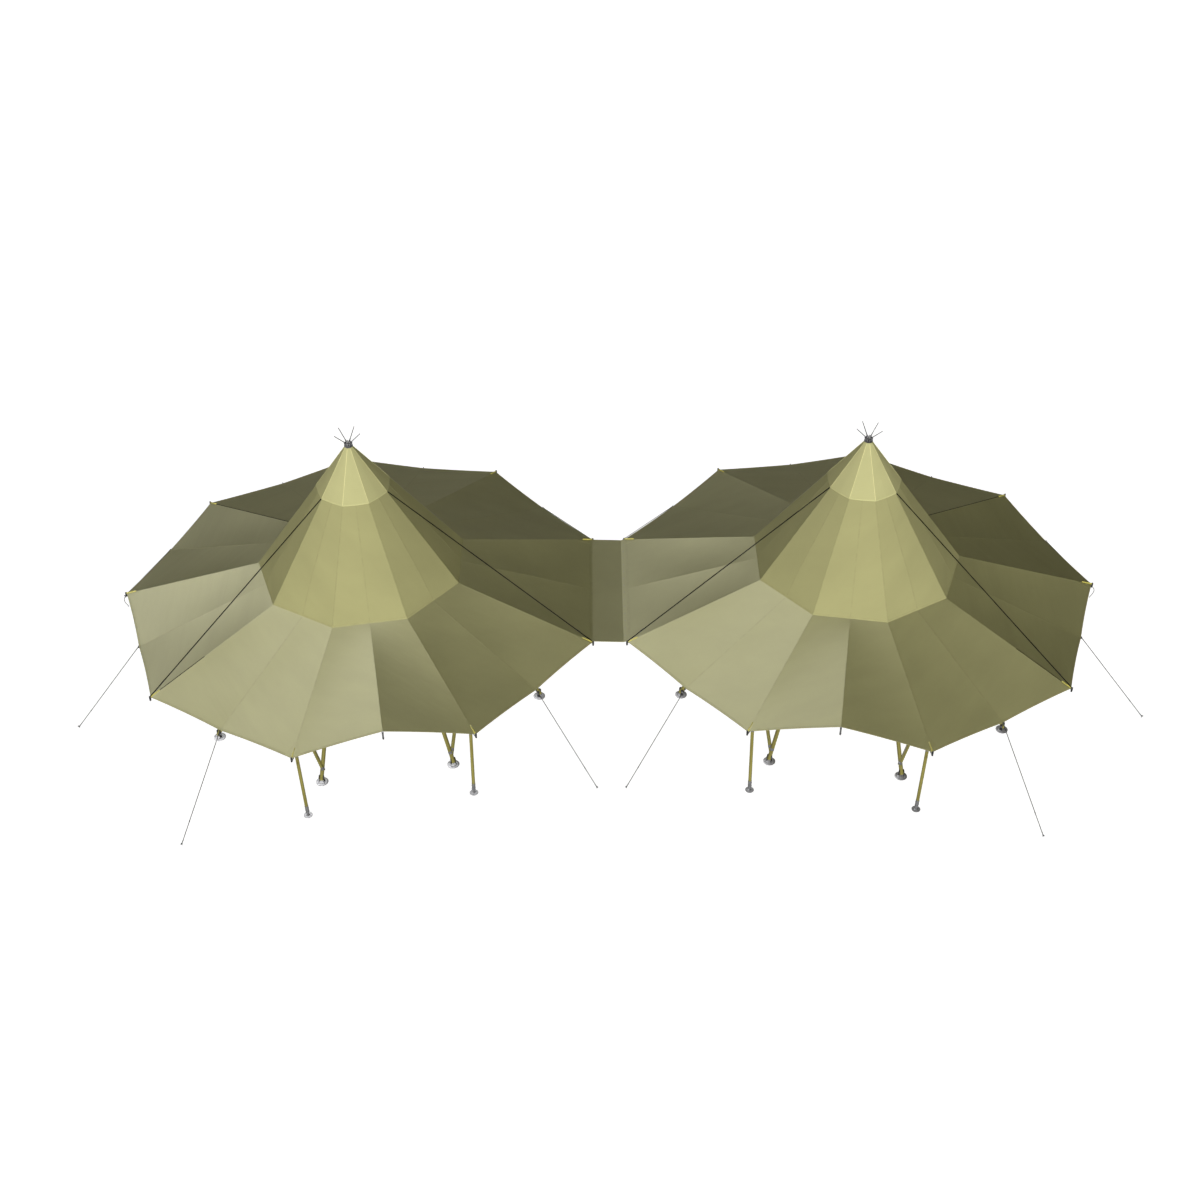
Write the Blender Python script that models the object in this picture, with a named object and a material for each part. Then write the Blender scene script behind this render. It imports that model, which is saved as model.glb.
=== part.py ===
"""Two nine-sided pole tents joined by a short level link, at full size in metres.

Each tent has a local frame: x points to the other tent, y to the front and z up. An azimuth is
measured in that frame from x towards y, so one set of numbers serves both tents. World +Z is up,
world X runs through both tents, and the front of the tents looks along world -Y.
"""

import math

import bmesh
import bpy
from mathutils import Matrix, Vector

# The plan of a tent
SIDES = 9
BAY_ANGLE = 2 * math.pi / SIDES
TENT_SPACING = 11.117
ENTRANCE_BAY = 2
LINK_BAY = 9
FOOT_GAP = 0.0003

# The canvas: radius and height of each ring, outside
EAVE_R, EAVE_Z = 5.50, 2.00
VALLEY_Z = 1.91
ENTRANCE_R, ENTRANCE_Z = 5.13, 2.38
KNUCKLE_R, KNUCKLE_Z = 2.355, 2.852
CAP_R = 0.815
CONE_TOP_R = 0.70
COLLAR_HOLE_R = 0.0855
ROOF_SLOPE = 1.3666
CANVAS_DROP = 0.020
CAP_LIFT = 0.0008
SKIRT_SLOPE = (KNUCKLE_Z - EAVE_Z) / (EAVE_R - KNUCKLE_R)
SKIRT_STEPS = 4

# The link between the tents: it drops to a crease near the right tent, and a flap at each edge
# lies on the skirt
LINK_HALF_WIDTH = EAVE_R * math.cos(BAY_ANGLE / 2)
LINK_HALF_LENGTH = 1.862
LINK_FLAP = 0.04
LINK_FLAP_HALF_LENGTH = 1.84
LINK_CREASE_WIDTH = 0.093
LINK_THICKNESS = 0.012

# The main poles, which lean from their feet to the crown
MAIN_FOOT_R = 4.18
MAIN_PIN_Z = 0.12
MAIN_TOP_R, MAIN_TOP_Z = 0.16, 5.70
MAIN_POLE_RADIUS = 0.045
MAIN_POLE_LOW_Z = 0.06
MAIN_PLATE_RADIUS = 0.135
MAIN_PLATE_THICKNESS = 0.012
CHEEK_THICKNESS = 0.008
CHEEK_WIDTH = 0.060
CHEEK_HEIGHT = 0.20
PIN_RADIUS = 0.009

# The braces, which lean from the low end of one main pole to the next main pole
BRACE_RADIUS = 0.040
FOOT_BRACE_LOW_Z, FOOT_BRACE_TOP_Z = 0.21, 2.30
FREE_BRACE_LOW_Z, FREE_BRACE_TOP_Z = 0.30, 2.05
FREE_BRACE_OUT, FREE_BRACE_ASIDE = 0.078, 0.050

# The side poles under corners of the eave
SIDE_FOOT_R = 5.18
SIDE_TOP_R, SIDE_TOP_Z = 5.256, 1.935
SIDE_POLE_RADIUS = 0.0325
SIDE_NECK_RADIUS = 0.024
SIDE_SLEEVE_RADIUS = 0.039
SIDE_PLATE_RADIUS = 0.095
SIDE_PLATE_THICKNESS = 0.010
LOW_ARM_RADIUS = 0.014
LOW_ARM_DROP = 0.020

# The clamp at each corner: a head past the hem, an arm on the ridge and a jaw under the canvas
CLAMP_INNER_R = EAVE_R + 0.0004
CLAMP_OUTER_R = EAVE_R + 0.036
CLAMP_MIDDLE_R = (CLAMP_INNER_R + CLAMP_OUTER_R) / 2
CLAMP_HALF_WIDTH = 0.0155
CLAMP_LOW_Z, CLAMP_HIGH_Z = 1.911, 2.036
ARM_RADIUS = 0.013
ARM_INNER_R = 5.27
JAW_INNER_R = 5.39
CLAMP_CLEARANCE = 0.0006

# The storm straps from the rim of the cap to three of the corners
STRAP_WIDTH = 0.035
STRAP_THICKNESS = 0.008
STRAP_END_Z = 2.014

# The guy lines and their pegs, which are driven in so far that only the head stands out
PEG_R = 6.84
PEG_HEIGHT = 0.075
PEG_RADIUS = 0.011
LINE_RADIUS = 0.006
LINE_PEG_Z = 0.045
TOGGLE_RADIUS = 0.013
TOGGLE_HALF_HEIGHT = 0.028

# The crown above the cap
COLLAR_RADIUS = 0.080
HEAD_PLATE_RADIUS = 0.21
HEAD_PLATE_THICKNESS = 0.022
COLLAR_TOP_Z = 6.075
ROD_COUNT = 5
ROD_AZIMUTH = math.radians(80)
ROD_TIP_R, ROD_TIP_Z = 0.288, 6.313
ROD_RADIUS = 0.012

# Corners that hang on a storm strap and have no side pole, and main poles that carry a brace
STRAP_CORNERS = (1, 4, 7)
FOOT_BRACE_CORNERS = (2, 6)
FREE_BRACE_CORNERS = (3, 8)

COLOURS = {
    "canvas": ((0.36, 0.35, 0.17), 0.90, 0.0),
    "cap_canvas": ((0.58, 0.56, 0.27), 0.85, 0.0),
    "wood": ((0.42, 0.36, 0.12), 0.60, 0.0),
    "steel": ((0.45, 0.45, 0.48), 0.40, 0.9),
    "rope": ((0.45, 0.45, 0.44), 0.80, 0.0),
    "strap": ((0.03, 0.03, 0.03), 0.70, 0.0),
}


def clear_scene():
    for old in list(bpy.data.objects):
        bpy.data.objects.remove(old, do_unlink=True)


def make_materials():
    materials = {}
    for name, (colour, roughness, metallic) in COLOURS.items():
        material = bpy.data.materials.new(name)
        material.use_nodes = True
        shader = material.node_tree.nodes["Principled BSDF"]
        shader.inputs["Base Color"].default_value = (*colour, 1.0)
        shader.inputs["Roughness"].default_value = roughness
        shader.inputs["Metallic"].default_value = metallic
        materials[name] = material
    return materials


def mesh_from(points, faces):
    """A mesh with its faces turned outwards."""
    mesh = bpy.data.meshes.new("piece")
    mesh.from_pydata([tuple(point) for point in points], [], faces)
    shape = bmesh.new()
    shape.from_mesh(mesh)
    bmesh.ops.recalc_face_normals(shape, faces=shape.faces)
    shape.to_mesh(mesh)
    shape.free()
    return mesh


def loft(rings):
    """A solid from closed rings of equal length, one after another, with flat ends."""
    count = len(rings[0])
    points = [point for ring in rings for point in ring]
    faces = []
    for level in range(len(rings) - 1):
        low, high = level * count, (level + 1) * count
        for i in range(count):
            j = (i + 1) % count
            faces.append((low + i, low + j, high + j, high + i))
    faces.append(tuple(range(count)))
    faces.append(tuple(range((len(rings) - 1) * count, len(rings) * count)))
    return mesh_from(points, faces)


def shell(outer_rings, drop):
    """A skin between the outer rings and the same rings lowered by drop, closed at both rims."""
    count = len(outer_rings[0])
    inner_rings = [[point - Vector((0, 0, drop)) for point in ring] for ring in outer_rings]
    rings = outer_rings + inner_rings[::-1]
    points = [point for ring in rings for point in ring]
    faces = []
    for level in range(len(rings)):
        low = level * count
        high = (level + 1) % len(rings) * count
        for i in range(count):
            j = (i + 1) % count
            faces.append((low + i, low + j, high + j, high + i))
    return mesh_from(points, faces)


def level_ring(centre, radius_x, radius_y, segments):
    return [
        centre
        + Vector(
            (
                radius_x * math.cos(2 * math.pi * i / segments),
                radius_y * math.sin(2 * math.pi * i / segments),
                0,
            )
        )
        for i in range(segments)
    ]


def upright(stages, x_at, y=0.0, segments=12):
    """A turned solid from (height, radius) stages, each centred on x_at(height)."""
    rings = [level_ring(Vector((x_at(z), y, z)), r, r, segments) for z, r in stages]
    return loft(rings)


def tube(start, end, radius, segments=12):
    """A straight round bar between two points."""
    along = (end - start).normalized()
    helper = Vector((0, 0, 1)) if abs(along.z) < 0.95 else Vector((1, 0, 0))
    across = along.cross(helper).normalized()
    other = along.cross(across)
    rings = []
    for centre in (start, end):
        ring = []
        for i in range(segments):
            angle = 2 * math.pi * (i + 0.5) / segments
            offset = across * math.cos(angle) + other * math.sin(angle)
            ring.append(centre + offset * radius)
        rings.append(ring)
    return loft(rings)


def block(low, high):
    corners = [(low[0], low[1]), (high[0], low[1]), (high[0], high[1]), (low[0], high[1])]
    rings = [[Vector((x, y, z)) for x, y in corners] for z in (low[2], high[2])]
    return loft(rings)


def bar(start, end, width, thickness):
    """A flat bar in the local xz plane, width across y."""
    along = (end - start).normalized()
    up = Vector((-along.z, 0, along.x)) * (thickness / 2)
    side = Vector((0, width / 2, 0))
    rings = [[p + up + side, p - up + side, p - up - side, p + up - side] for p in (start, end)]
    return loft(rings)


def combine(first, others, operation="UNION"):
    """The first mesh joined with, or cut by, each of the others."""
    scene = bpy.context.scene.collection
    base = bpy.data.objects.new("base", first)
    scene.objects.link(base)
    tools = []
    for mesh in others:
        tool = bpy.data.objects.new("tool", mesh)
        tool.hide_render = True
        scene.objects.link(tool)
        tools.append(tool)
        modifier = base.modifiers.new("combine", "BOOLEAN")
        modifier.operation = operation
        modifier.solver = "EXACT"
        modifier.object = tool
    bpy.context.view_layer.update()
    graph = bpy.context.evaluated_depsgraph_get()
    result = bpy.data.meshes.new_from_object(base.evaluated_get(graph))
    for helper in tools + [base]:
        bpy.data.objects.remove(helper, do_unlink=True)
    return result


def tent_matrix(side):
    """Takes a tent's local frame to the world; side is -1 for the left tent and 1 for the right."""
    place = Matrix.Translation((side * TENT_SPACING / 2, 0, 0))
    return place @ Matrix.Diagonal((-side, -1, 1, 1))


def at_azimuth(angle):
    return Matrix.Rotation(angle, 4, "Z")


def add_part(name, mesh, matrix, material):
    copy = mesh.copy()
    copy.name = name
    copy.transform(matrix)
    if matrix.determinant() < 0:
        copy.flip_normals()
    copy.materials.clear()
    copy.materials.append(material)
    part = bpy.data.objects.new(name, copy)
    bpy.context.scene.collection.objects.link(part)
    return part


def corner_angle(corner):
    """Corner 1 is the first after the link, and the numbers run round by way of the front."""
    return (corner - 0.5) * BAY_ANGLE


def bay_angle(bay):
    """Bay 1 lies between corners 1 and 2, and bay 9 faces the other tent."""
    return bay * BAY_ANGLE


def polar(radius, angle, z):
    return Vector((radius * math.cos(angle), radius * math.sin(angle), z))


def main_pole_x(z):
    """Radius of a main pole's axis at a height."""
    share = (z - MAIN_PIN_Z) / (MAIN_TOP_Z - MAIN_PIN_Z)
    return MAIN_FOOT_R + (MAIN_TOP_R - MAIN_FOOT_R) * share


def main_pole_point(z):
    return Vector((main_pole_x(z), 0, z))


def side_pole_x(z):
    return SIDE_FOOT_R + (SIDE_TOP_R - SIDE_FOOT_R) * z / SIDE_TOP_Z


def roof_z(radius):
    """Outer height of the steep roof along a ridge."""
    return KNUCKLE_Z + (KNUCKLE_R - radius) * ROOF_SLOPE


def skirt_ridge_z(radius):
    """Outer height of the skirt along a ridge."""
    return EAVE_Z + (EAVE_R - radius) * SKIRT_SLOPE


def cone_mesh():
    rings = []
    for radius in (KNUCKLE_R, CONE_TOP_R):
        corners = range(1, SIDES + 1)
        rings.append([polar(radius, corner_angle(c), roof_z(radius)) for c in corners])
    return shell(rings, CANVAS_DROP)


def cap_mesh():
    """The cap lies on the cone and reaches up to the collar of the crown."""
    lift = CANVAS_DROP + CAP_LIFT
    rings = []
    for radius in (CAP_R, COLLAR_HOLE_R):
        corners = range(1, SIDES + 1)
        rings.append([polar(radius, corner_angle(c), roof_z(radius) + lift) for c in corners])
    return shell(rings, CANVAS_DROP)


def skirt_mesh():
    """Nine ridges to the corners, with a valley in each bay, or a peak over the entrance."""
    chord = math.cos(BAY_ANGLE / 2)
    inner_radius = KNUCKLE_R + FOOT_GAP * 1.5
    inner, outer = [], []
    for corner in range(1, SIDES + 1):
        inner.append(polar(inner_radius, corner_angle(corner), KNUCKLE_Z))
        outer.append(polar(EAVE_R, corner_angle(corner), EAVE_Z))
        inner.append(polar(inner_radius * chord, bay_angle(corner), KNUCKLE_Z))
        if corner == ENTRANCE_BAY:
            outer.append(polar(ENTRANCE_R, bay_angle(corner), ENTRANCE_Z))
        elif corner == LINK_BAY:
            outer.append(polar(EAVE_R * chord, bay_angle(corner), EAVE_Z))
        else:
            outer.append(polar(EAVE_R * chord, bay_angle(corner), VALLEY_Z))
    rings = []
    for step in range(SKIRT_STEPS + 1):
        share = step / SKIRT_STEPS
        rings.append([a.lerp(b, share) for a, b in zip(inner, outer)])
    return shell(rings, CANVAS_DROP)


def crown_mesh():
    """A head plate on the tops of the main poles, a collar through the cap, and splayed rods."""
    plate_z = MAIN_TOP_Z + FOOT_GAP
    ring_z = roof_z(COLLAR_HOLE_R) + CANVAS_DROP + CAP_LIFT + 0.004
    stages = [
        (plate_z, HEAD_PLATE_RADIUS),
        (plate_z + HEAD_PLATE_THICKNESS, HEAD_PLATE_RADIUS),
        (plate_z + HEAD_PLATE_THICKNESS, COLLAR_RADIUS),
        (ring_z, COLLAR_RADIUS),
        (ring_z + 0.008, 0.096),
        (ring_z + 0.032, 0.096),
        (ring_z + 0.040, 0.078),
        (ring_z + 0.050, 0.078),
        (ring_z + 0.056, 0.088),
        (ring_z + 0.076, 0.088),
        (ring_z + 0.084, 0.070),
        (COLLAR_TOP_Z, 0.064),
    ]
    collar = upright(stages, lambda z: 0.0, segments=24)
    rods = []
    for i in range(ROD_COUNT):
        angle = ROD_AZIMUTH + 2 * math.pi * i / ROD_COUNT
        root = polar(0.035, angle, COLLAR_TOP_Z - 0.03)
        tip = polar(ROD_TIP_R, angle, ROD_TIP_Z)
        rods.append(tube(root, tip, ROD_RADIUS, segments=8))
    return combine(collar, rods)


def main_pole_mesh():
    """Foot plate, fork, pin and pole, with the pole's top cut level under the head plate."""
    plate = upright(
        [(0.0, MAIN_PLATE_RADIUS), (MAIN_PLATE_THICKNESS, MAIN_PLATE_RADIUS)],
        lambda z: MAIN_FOOT_R,
        segments=20,
    )
    lean = (MAIN_FOOT_R - MAIN_TOP_R) / (MAIN_TOP_Z - MAIN_PIN_Z)
    rings = []
    for z in (MAIN_POLE_LOW_Z, MAIN_TOP_Z):
        radius_x = MAIN_POLE_RADIUS * math.hypot(1, lean)
        rings.append(level_ring(main_pole_point(z), radius_x, MAIN_POLE_RADIUS, 12))
    pole = loft(rings)
    joined = [pole]
    for side in (-1, 1):
        inner = MAIN_POLE_RADIUS - 0.001
        low_y, high_y = sorted((side * inner, side * (inner + CHEEK_THICKNESS)))
        low = (MAIN_FOOT_R - CHEEK_WIDTH / 2, low_y, MAIN_PLATE_THICKNESS / 2)
        high = (MAIN_FOOT_R + CHEEK_WIDTH / 2, high_y, CHEEK_HEIGHT)
        joined.append(block(low, high))
    reach = Vector((0, MAIN_POLE_RADIUS + CHEEK_THICKNESS + 0.005, 0))
    pin = main_pole_point(MAIN_PIN_Z)
    joined.append(tube(pin - reach, pin + reach, PIN_RADIUS, segments=8))
    return combine(plate, joined)


def coped_brace(start, target_turn, top_z):
    """A brace from start to the main pole at target_turn, its end cut to that pole's side."""
    turned = Matrix.Rotation(target_turn, 3, "Z")
    end = turned @ main_pole_point(top_z)
    brace = tube(start, end, BRACE_RADIUS)
    low = turned @ main_pole_point(top_z - 0.6)
    high = turned @ main_pole_point(top_z + 0.6)
    cutter = tube(low, high, MAIN_POLE_RADIUS + 0.002, segments=24)
    return combine(brace, [cutter], "DIFFERENCE")


def foot_brace_pole_mesh():
    """A main pole with a brace from its low end to the pole before it."""
    brace = coped_brace(main_pole_point(FOOT_BRACE_LOW_Z), -BAY_ANGLE, FOOT_BRACE_TOP_Z)
    return combine(main_pole_mesh(), [brace])


def free_brace_pole_mesh():
    """A main pole with a brace to the pole after it, whose lower end runs past the pole."""
    beside = Vector((FREE_BRACE_OUT, -FREE_BRACE_ASIDE, 0))
    start = main_pole_point(FREE_BRACE_LOW_Z) + beside
    brace = coped_brace(start, BAY_ANGLE, FREE_BRACE_TOP_Z)
    return combine(main_pole_mesh(), [brace])


def corner_clamp_meshes():
    """The head and the two bars that grip a corner of the skirt, above and below."""
    low = (CLAMP_INNER_R, -CLAMP_HALF_WIDTH, CLAMP_LOW_Z)
    head = block(low, (CLAMP_OUTER_R, CLAMP_HALF_WIDTH, CLAMP_HIGH_Z))
    lift = (ARM_RADIUS + CLAMP_CLEARANCE) * math.hypot(1, SKIRT_SLOPE)
    bars = []
    for inner_r, offset in ((ARM_INNER_R, lift), (JAW_INNER_R, -CANVAS_DROP - lift)):
        outer = Vector((CLAMP_MIDDLE_R, 0, skirt_ridge_z(CLAMP_MIDDLE_R) + offset))
        inner = Vector((inner_r, 0, skirt_ridge_z(inner_r) + offset))
        bars.append(tube(outer, inner, ARM_RADIUS, segments=8))
    return [head] + bars


def side_pole_mesh():
    """Foot plate, neck, sleeve and pole, with an arm to the clamp that it carries."""
    stages = [
        (0.0, SIDE_PLATE_RADIUS),
        (SIDE_PLATE_THICKNESS, SIDE_PLATE_RADIUS),
        (SIDE_PLATE_THICKNESS + 0.006, SIDE_NECK_RADIUS),
        (0.085, SIDE_NECK_RADIUS),
        (0.090, SIDE_SLEEVE_RADIUS),
        (0.300, SIDE_SLEEVE_RADIUS),
        (0.304, SIDE_POLE_RADIUS),
        (SIDE_TOP_Z, SIDE_POLE_RADIUS),
    ]
    pole = upright(stages, side_pole_x)
    arm_start = Vector((SIDE_TOP_R - 0.01, 0, SIDE_TOP_Z - LOW_ARM_DROP))
    arm_end = Vector((CLAMP_MIDDLE_R, 0, CLAMP_LOW_Z + LOW_ARM_RADIUS + 0.002))
    low_arm = tube(arm_start, arm_end, LOW_ARM_RADIUS, segments=6)
    return combine(pole, [low_arm] + corner_clamp_meshes())


def storm_strap_mesh():
    """A strap from the rim of the cap to the clamp at a corner."""
    cap_rim = Vector((CAP_R + 0.003, 0, roof_z(CAP_R) + CANVAS_DROP / 2 + 0.004))
    corner = Vector((CLAMP_MIDDLE_R, 0, STRAP_END_Z))
    strap = bar(cap_rim, corner, STRAP_WIDTH, STRAP_THICKNESS)
    return combine(strap, corner_clamp_meshes())


def guy_line_mesh():
    """A toggle at the hem, the line, and the peg that it is tied to."""
    hem_r = EAVE_R * math.cos(BAY_ANGLE / 2)
    toggle_x = hem_r + TOGGLE_RADIUS + FOOT_GAP
    hem_z = VALLEY_Z - CANVAS_DROP / 2
    low_z, high_z = hem_z - TOGGLE_HALF_HEIGHT, hem_z + TOGGLE_HALF_HEIGHT
    toggle = upright(
        [(low_z, TOGGLE_RADIUS), (high_z, TOGGLE_RADIUS)], lambda z: toggle_x, segments=8
    )
    line = tube(
        Vector((toggle_x + 0.002, 0.0007, hem_z + 0.0011)),
        Vector((PEG_R - 0.002, -0.0006, LINE_PEG_Z)),
        LINE_RADIUS,
        segments=6,
    )
    peg = upright(
        [
            (0.0, PEG_RADIUS),
            (PEG_HEIGHT - 0.016, PEG_RADIUS),
            (PEG_HEIGHT - 0.014, PEG_RADIUS * 1.9),
            (PEG_HEIGHT, PEG_RADIUS * 1.9),
        ],
        lambda z: PEG_R,
        segments=10,
    )
    return combine(peg, [line, toggle])


def link_mesh():
    """A strip between the tents whose edges lie on both skirts."""
    edge = TENT_SPACING / 2 - LINK_HALF_WIDTH
    slope = SKIRT_SLOPE / math.cos(BAY_ANGLE / 2)
    low = EAVE_Z + 0.0006
    profile = [
        (-edge - LINK_FLAP, low + LINK_FLAP * slope, LINK_FLAP_HALF_LENGTH),
        (-edge, low, LINK_HALF_LENGTH),
        (edge - LINK_CREASE_WIDTH, low - LINK_CREASE_WIDTH * slope, LINK_HALF_LENGTH),
        (edge, low, LINK_HALF_LENGTH),
        (edge + LINK_FLAP, low + LINK_FLAP * slope, LINK_FLAP_HALF_LENGTH),
    ]
    rings = []
    for x, z, half in profile:
        top = z + LINK_THICKNESS
        outline = [(-half, z), (half, z), (half, top), (-half, top)]
        rings.append([Vector((x, y, height)) for y, height in outline])
    return loft(rings)


def centre_on_origin():
    """Moves everything along Y so that the middle of the whole lies over the origin."""
    parts = list(bpy.context.scene.collection.objects)
    depths = [vertex.co.y for part in parts for vertex in part.data.vertices]
    shift = -(min(depths) + max(depths)) / 2
    for part in parts:
        part.data.transform(Matrix.Translation((0, shift, 0)))


def main():
    clear_scene()
    materials = make_materials()
    canvas = {"cap": cap_mesh(), "cone": cone_mesh(), "skirt": skirt_mesh()}
    crown = crown_mesh()
    plain_pole = main_pole_mesh()
    foot_brace_pole = foot_brace_pole_mesh()
    free_brace_pole = free_brace_pole_mesh()
    side_pole = side_pole_mesh()
    storm_strap = storm_strap_mesh()
    guy_line = guy_line_mesh()
    for side, prefix in ((-1, "left"), (1, "right")):
        tent = tent_matrix(side)
        for name, mesh in canvas.items():
            cloth = materials["cap_canvas" if name == "cap" else "canvas"]
            add_part(f"{prefix}_{name}", mesh, tent, cloth)
        add_part(f"{prefix}_crown", crown, tent, materials["steel"])
        for corner in range(1, SIDES + 1):
            place = tent @ at_azimuth(corner_angle(corner))
            pole = plain_pole
            if corner in FOOT_BRACE_CORNERS:
                pole = foot_brace_pole
            if corner in FREE_BRACE_CORNERS:
                pole = free_brace_pole
            add_part(f"{prefix}_main_pole_{corner}", pole, place, materials["wood"])
            if corner in STRAP_CORNERS:
                add_part(f"{prefix}_storm_strap_{corner}", storm_strap, place, materials["strap"])
            else:
                add_part(f"{prefix}_side_pole_{corner}", side_pole, place, materials["wood"])
        for bay in range(1, SIDES + 1):
            if bay in (ENTRANCE_BAY, LINK_BAY):
                continue
            place = tent @ at_azimuth(bay_angle(bay))
            add_part(f"{prefix}_guy_line_{bay}", guy_line, place, materials["rope"])
    add_part("link_canopy", link_mesh(), Matrix.Identity(4), materials["canvas"])
    centre_on_origin()


main()
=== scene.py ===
"""The finish of two nine-sided pole tents and of the short link that joins them, in metres.

Each tent has a local frame: x points to the other tent, y to the front and z up. An azimuth is
measured in that frame from x towards y, so one set of numbers serves both tents. The cloth is
laid out by lines that run down the roof: the even ones are the corners and the odd ones the
middles of the bays.
"""

import math

import bmesh
import bpy
from mathutils import Matrix, Vector, noise


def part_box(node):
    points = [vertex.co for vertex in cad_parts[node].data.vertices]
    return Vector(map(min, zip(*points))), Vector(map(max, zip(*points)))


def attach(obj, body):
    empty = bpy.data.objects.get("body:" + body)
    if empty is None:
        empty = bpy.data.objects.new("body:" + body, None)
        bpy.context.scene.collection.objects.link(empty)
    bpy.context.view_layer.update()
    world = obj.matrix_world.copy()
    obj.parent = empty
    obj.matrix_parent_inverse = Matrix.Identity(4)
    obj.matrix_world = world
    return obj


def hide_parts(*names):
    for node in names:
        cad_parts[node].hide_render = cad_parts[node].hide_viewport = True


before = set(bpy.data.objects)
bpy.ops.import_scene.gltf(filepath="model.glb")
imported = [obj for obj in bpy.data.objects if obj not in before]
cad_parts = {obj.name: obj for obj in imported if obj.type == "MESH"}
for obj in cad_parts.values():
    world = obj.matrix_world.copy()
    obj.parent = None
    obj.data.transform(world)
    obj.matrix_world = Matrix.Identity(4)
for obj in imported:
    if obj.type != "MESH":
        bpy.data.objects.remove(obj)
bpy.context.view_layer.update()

# The plan of a tent
SIDES = 9
BAY_ANGLE = 2 * math.pi / SIDES
CHORD = math.cos(BAY_ANGLE / 2)
LINES = 2 * SIDES
ENTRANCE_LINE = 3
LINK_LINE = 17
TENT_SPACING = 11.117
LINK_LOW, LINK_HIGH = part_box("link_canopy")
TENT_Y = (LINK_LOW.y + LINK_HIGH.y) / 2

# The canvas, as the frame has it
EAVE_R, EAVE_Z = 5.50, 2.00
VALLEY_Z = 1.91
ENTRANCE_R, ENTRANCE_Z = 5.13, 2.38
KNUCKLE_R, KNUCKLE_Z = 2.355, 2.852
CAP_R = 0.815
CONE_TOP_R = 0.70
COLLAR_HOLE_R = 0.0855
ROOF_SLOPE = 1.3666
CAP_RISE = 0.0208
SKIRT_SLOPE = (KNUCKLE_Z - EAVE_Z) / (EAVE_R - KNUCKLE_R)

# The cloth's own form
CLOTH_DROP = 0.003
CAP_DROP = 0.012
SKIRT_SAG = 0.020
HEM_CURVE = 0.020
CONE_BULGE = 0.40
CAP_BULGE = 0.30
HALF_BAY_COLUMNS = 14
SKIRT_ROWS = 36
CONE_ROWS = 26
CAP_ROWS = 14

# Main poles and their feet
MAIN_FOOT_R = 4.18
MAIN_PIN_Z = 0.12
MAIN_TOP_R, MAIN_TOP_Z = 0.16, 5.70
MAIN_POLE_RADIUS = 0.045
MAIN_PLATE_RADIUS = 0.135
MAIN_PLATE_THICKNESS = 0.012
CHEEK_THICKNESS = 0.008
CHEEK_WIDTH = 0.060
CHEEK_HEIGHT = 0.20
BRACE_RADIUS = 0.040
FOOT_BRACE_LOW_Z, FOOT_BRACE_TOP_Z = 0.21, 2.30
FREE_BRACE_LOW_Z, FREE_BRACE_TOP_Z = 0.30, 2.05
FREE_BRACE_OUT, FREE_BRACE_ASIDE = 0.078, 0.050

# Side poles, their feet and the corner clamps
SIDE_FOOT_R = 5.18
SIDE_TOP_R, SIDE_TOP_Z = 5.256, 1.935
SIDE_POLE_RADIUS = 0.0360
SIDE_PLATE_RADIUS = 0.095
CLAMP_INNER_R, CLAMP_OUTER_R = 5.5004, 5.536
CLAMP_MIDDLE_R = (CLAMP_INNER_R + CLAMP_OUTER_R) / 2
CLAMP_HALF_WIDTH = 0.0155
CLAMP_LOW_Z, CLAMP_HIGH_Z = 1.911, 2.036
ARM_RADIUS = 0.013
ARM_INNER_R = 5.27
JAW_INNER_R = 5.39

# Guy lines
PEG_R = 6.84
PEG_HEIGHT = 0.075
LINE_PEG_Z = 0.045
LINE_RADIUS = 0.0078

# The crown
HEAD_PLATE_RADIUS = 0.21
COLLAR_RADIUS = 0.080
COLLAR_TOP_Z = 6.075
ROD_COUNT = 5
ROD_AZIMUTH = math.radians(80)
ROD_TIP_R, ROD_TIP_Z = 0.288, 6.313

CORNERS = range(1, SIDES + 1)
STRAP_CORNERS = (1, 4, 7)
POLE_CORNERS = tuple(corner for corner in CORNERS if corner not in STRAP_CORNERS)
FOOT_BRACE_CORNERS = (2, 6)
FREE_BRACE_CORNERS = (3, 8)
# Black strips along two skirt ridges, from the clamp inwards, by length: painted shadow lines along the
# ridges.
RIDGE_SHADOW_STRIPS = {4: 1.40, 6: 3.20}
OUTER_CORNER = 5


def polar(radius, angle, z):
    return Vector((radius * math.cos(angle), radius * math.sin(angle), z))


def corner_angle(corner):
    return (corner - 0.5) * BAY_ANGLE


def bay_angle(bay):
    return bay * BAY_ANGLE


def tent_matrix(side):
    """Takes a tent's local frame to the world; side is -1 for the left tent and 1 for the right."""
    place = Matrix.Translation((side * TENT_SPACING / 2, TENT_Y, 0))
    return place @ Matrix.Diagonal((-side, -1, 1, 1))


def turn(angle):
    return Matrix.Rotation(angle, 4, "Z")


def main_pole_point(z):
    share = (z - MAIN_PIN_Z) / (MAIN_TOP_Z - MAIN_PIN_Z)
    return Vector((MAIN_FOOT_R + (MAIN_TOP_R - MAIN_FOOT_R) * share, 0, z))


def side_pole_point(z):
    return Vector((SIDE_FOOT_R + (SIDE_TOP_R - SIDE_FOOT_R) * z / SIDE_TOP_Z, 0, z))


def roof_z(radius):
    return KNUCKLE_Z + (KNUCKLE_R - radius) * ROOF_SLOPE


def skirt_ridge_z(radius):
    return EAVE_Z + (EAVE_R - radius) * SKIRT_SLOPE


# Shapes

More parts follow.
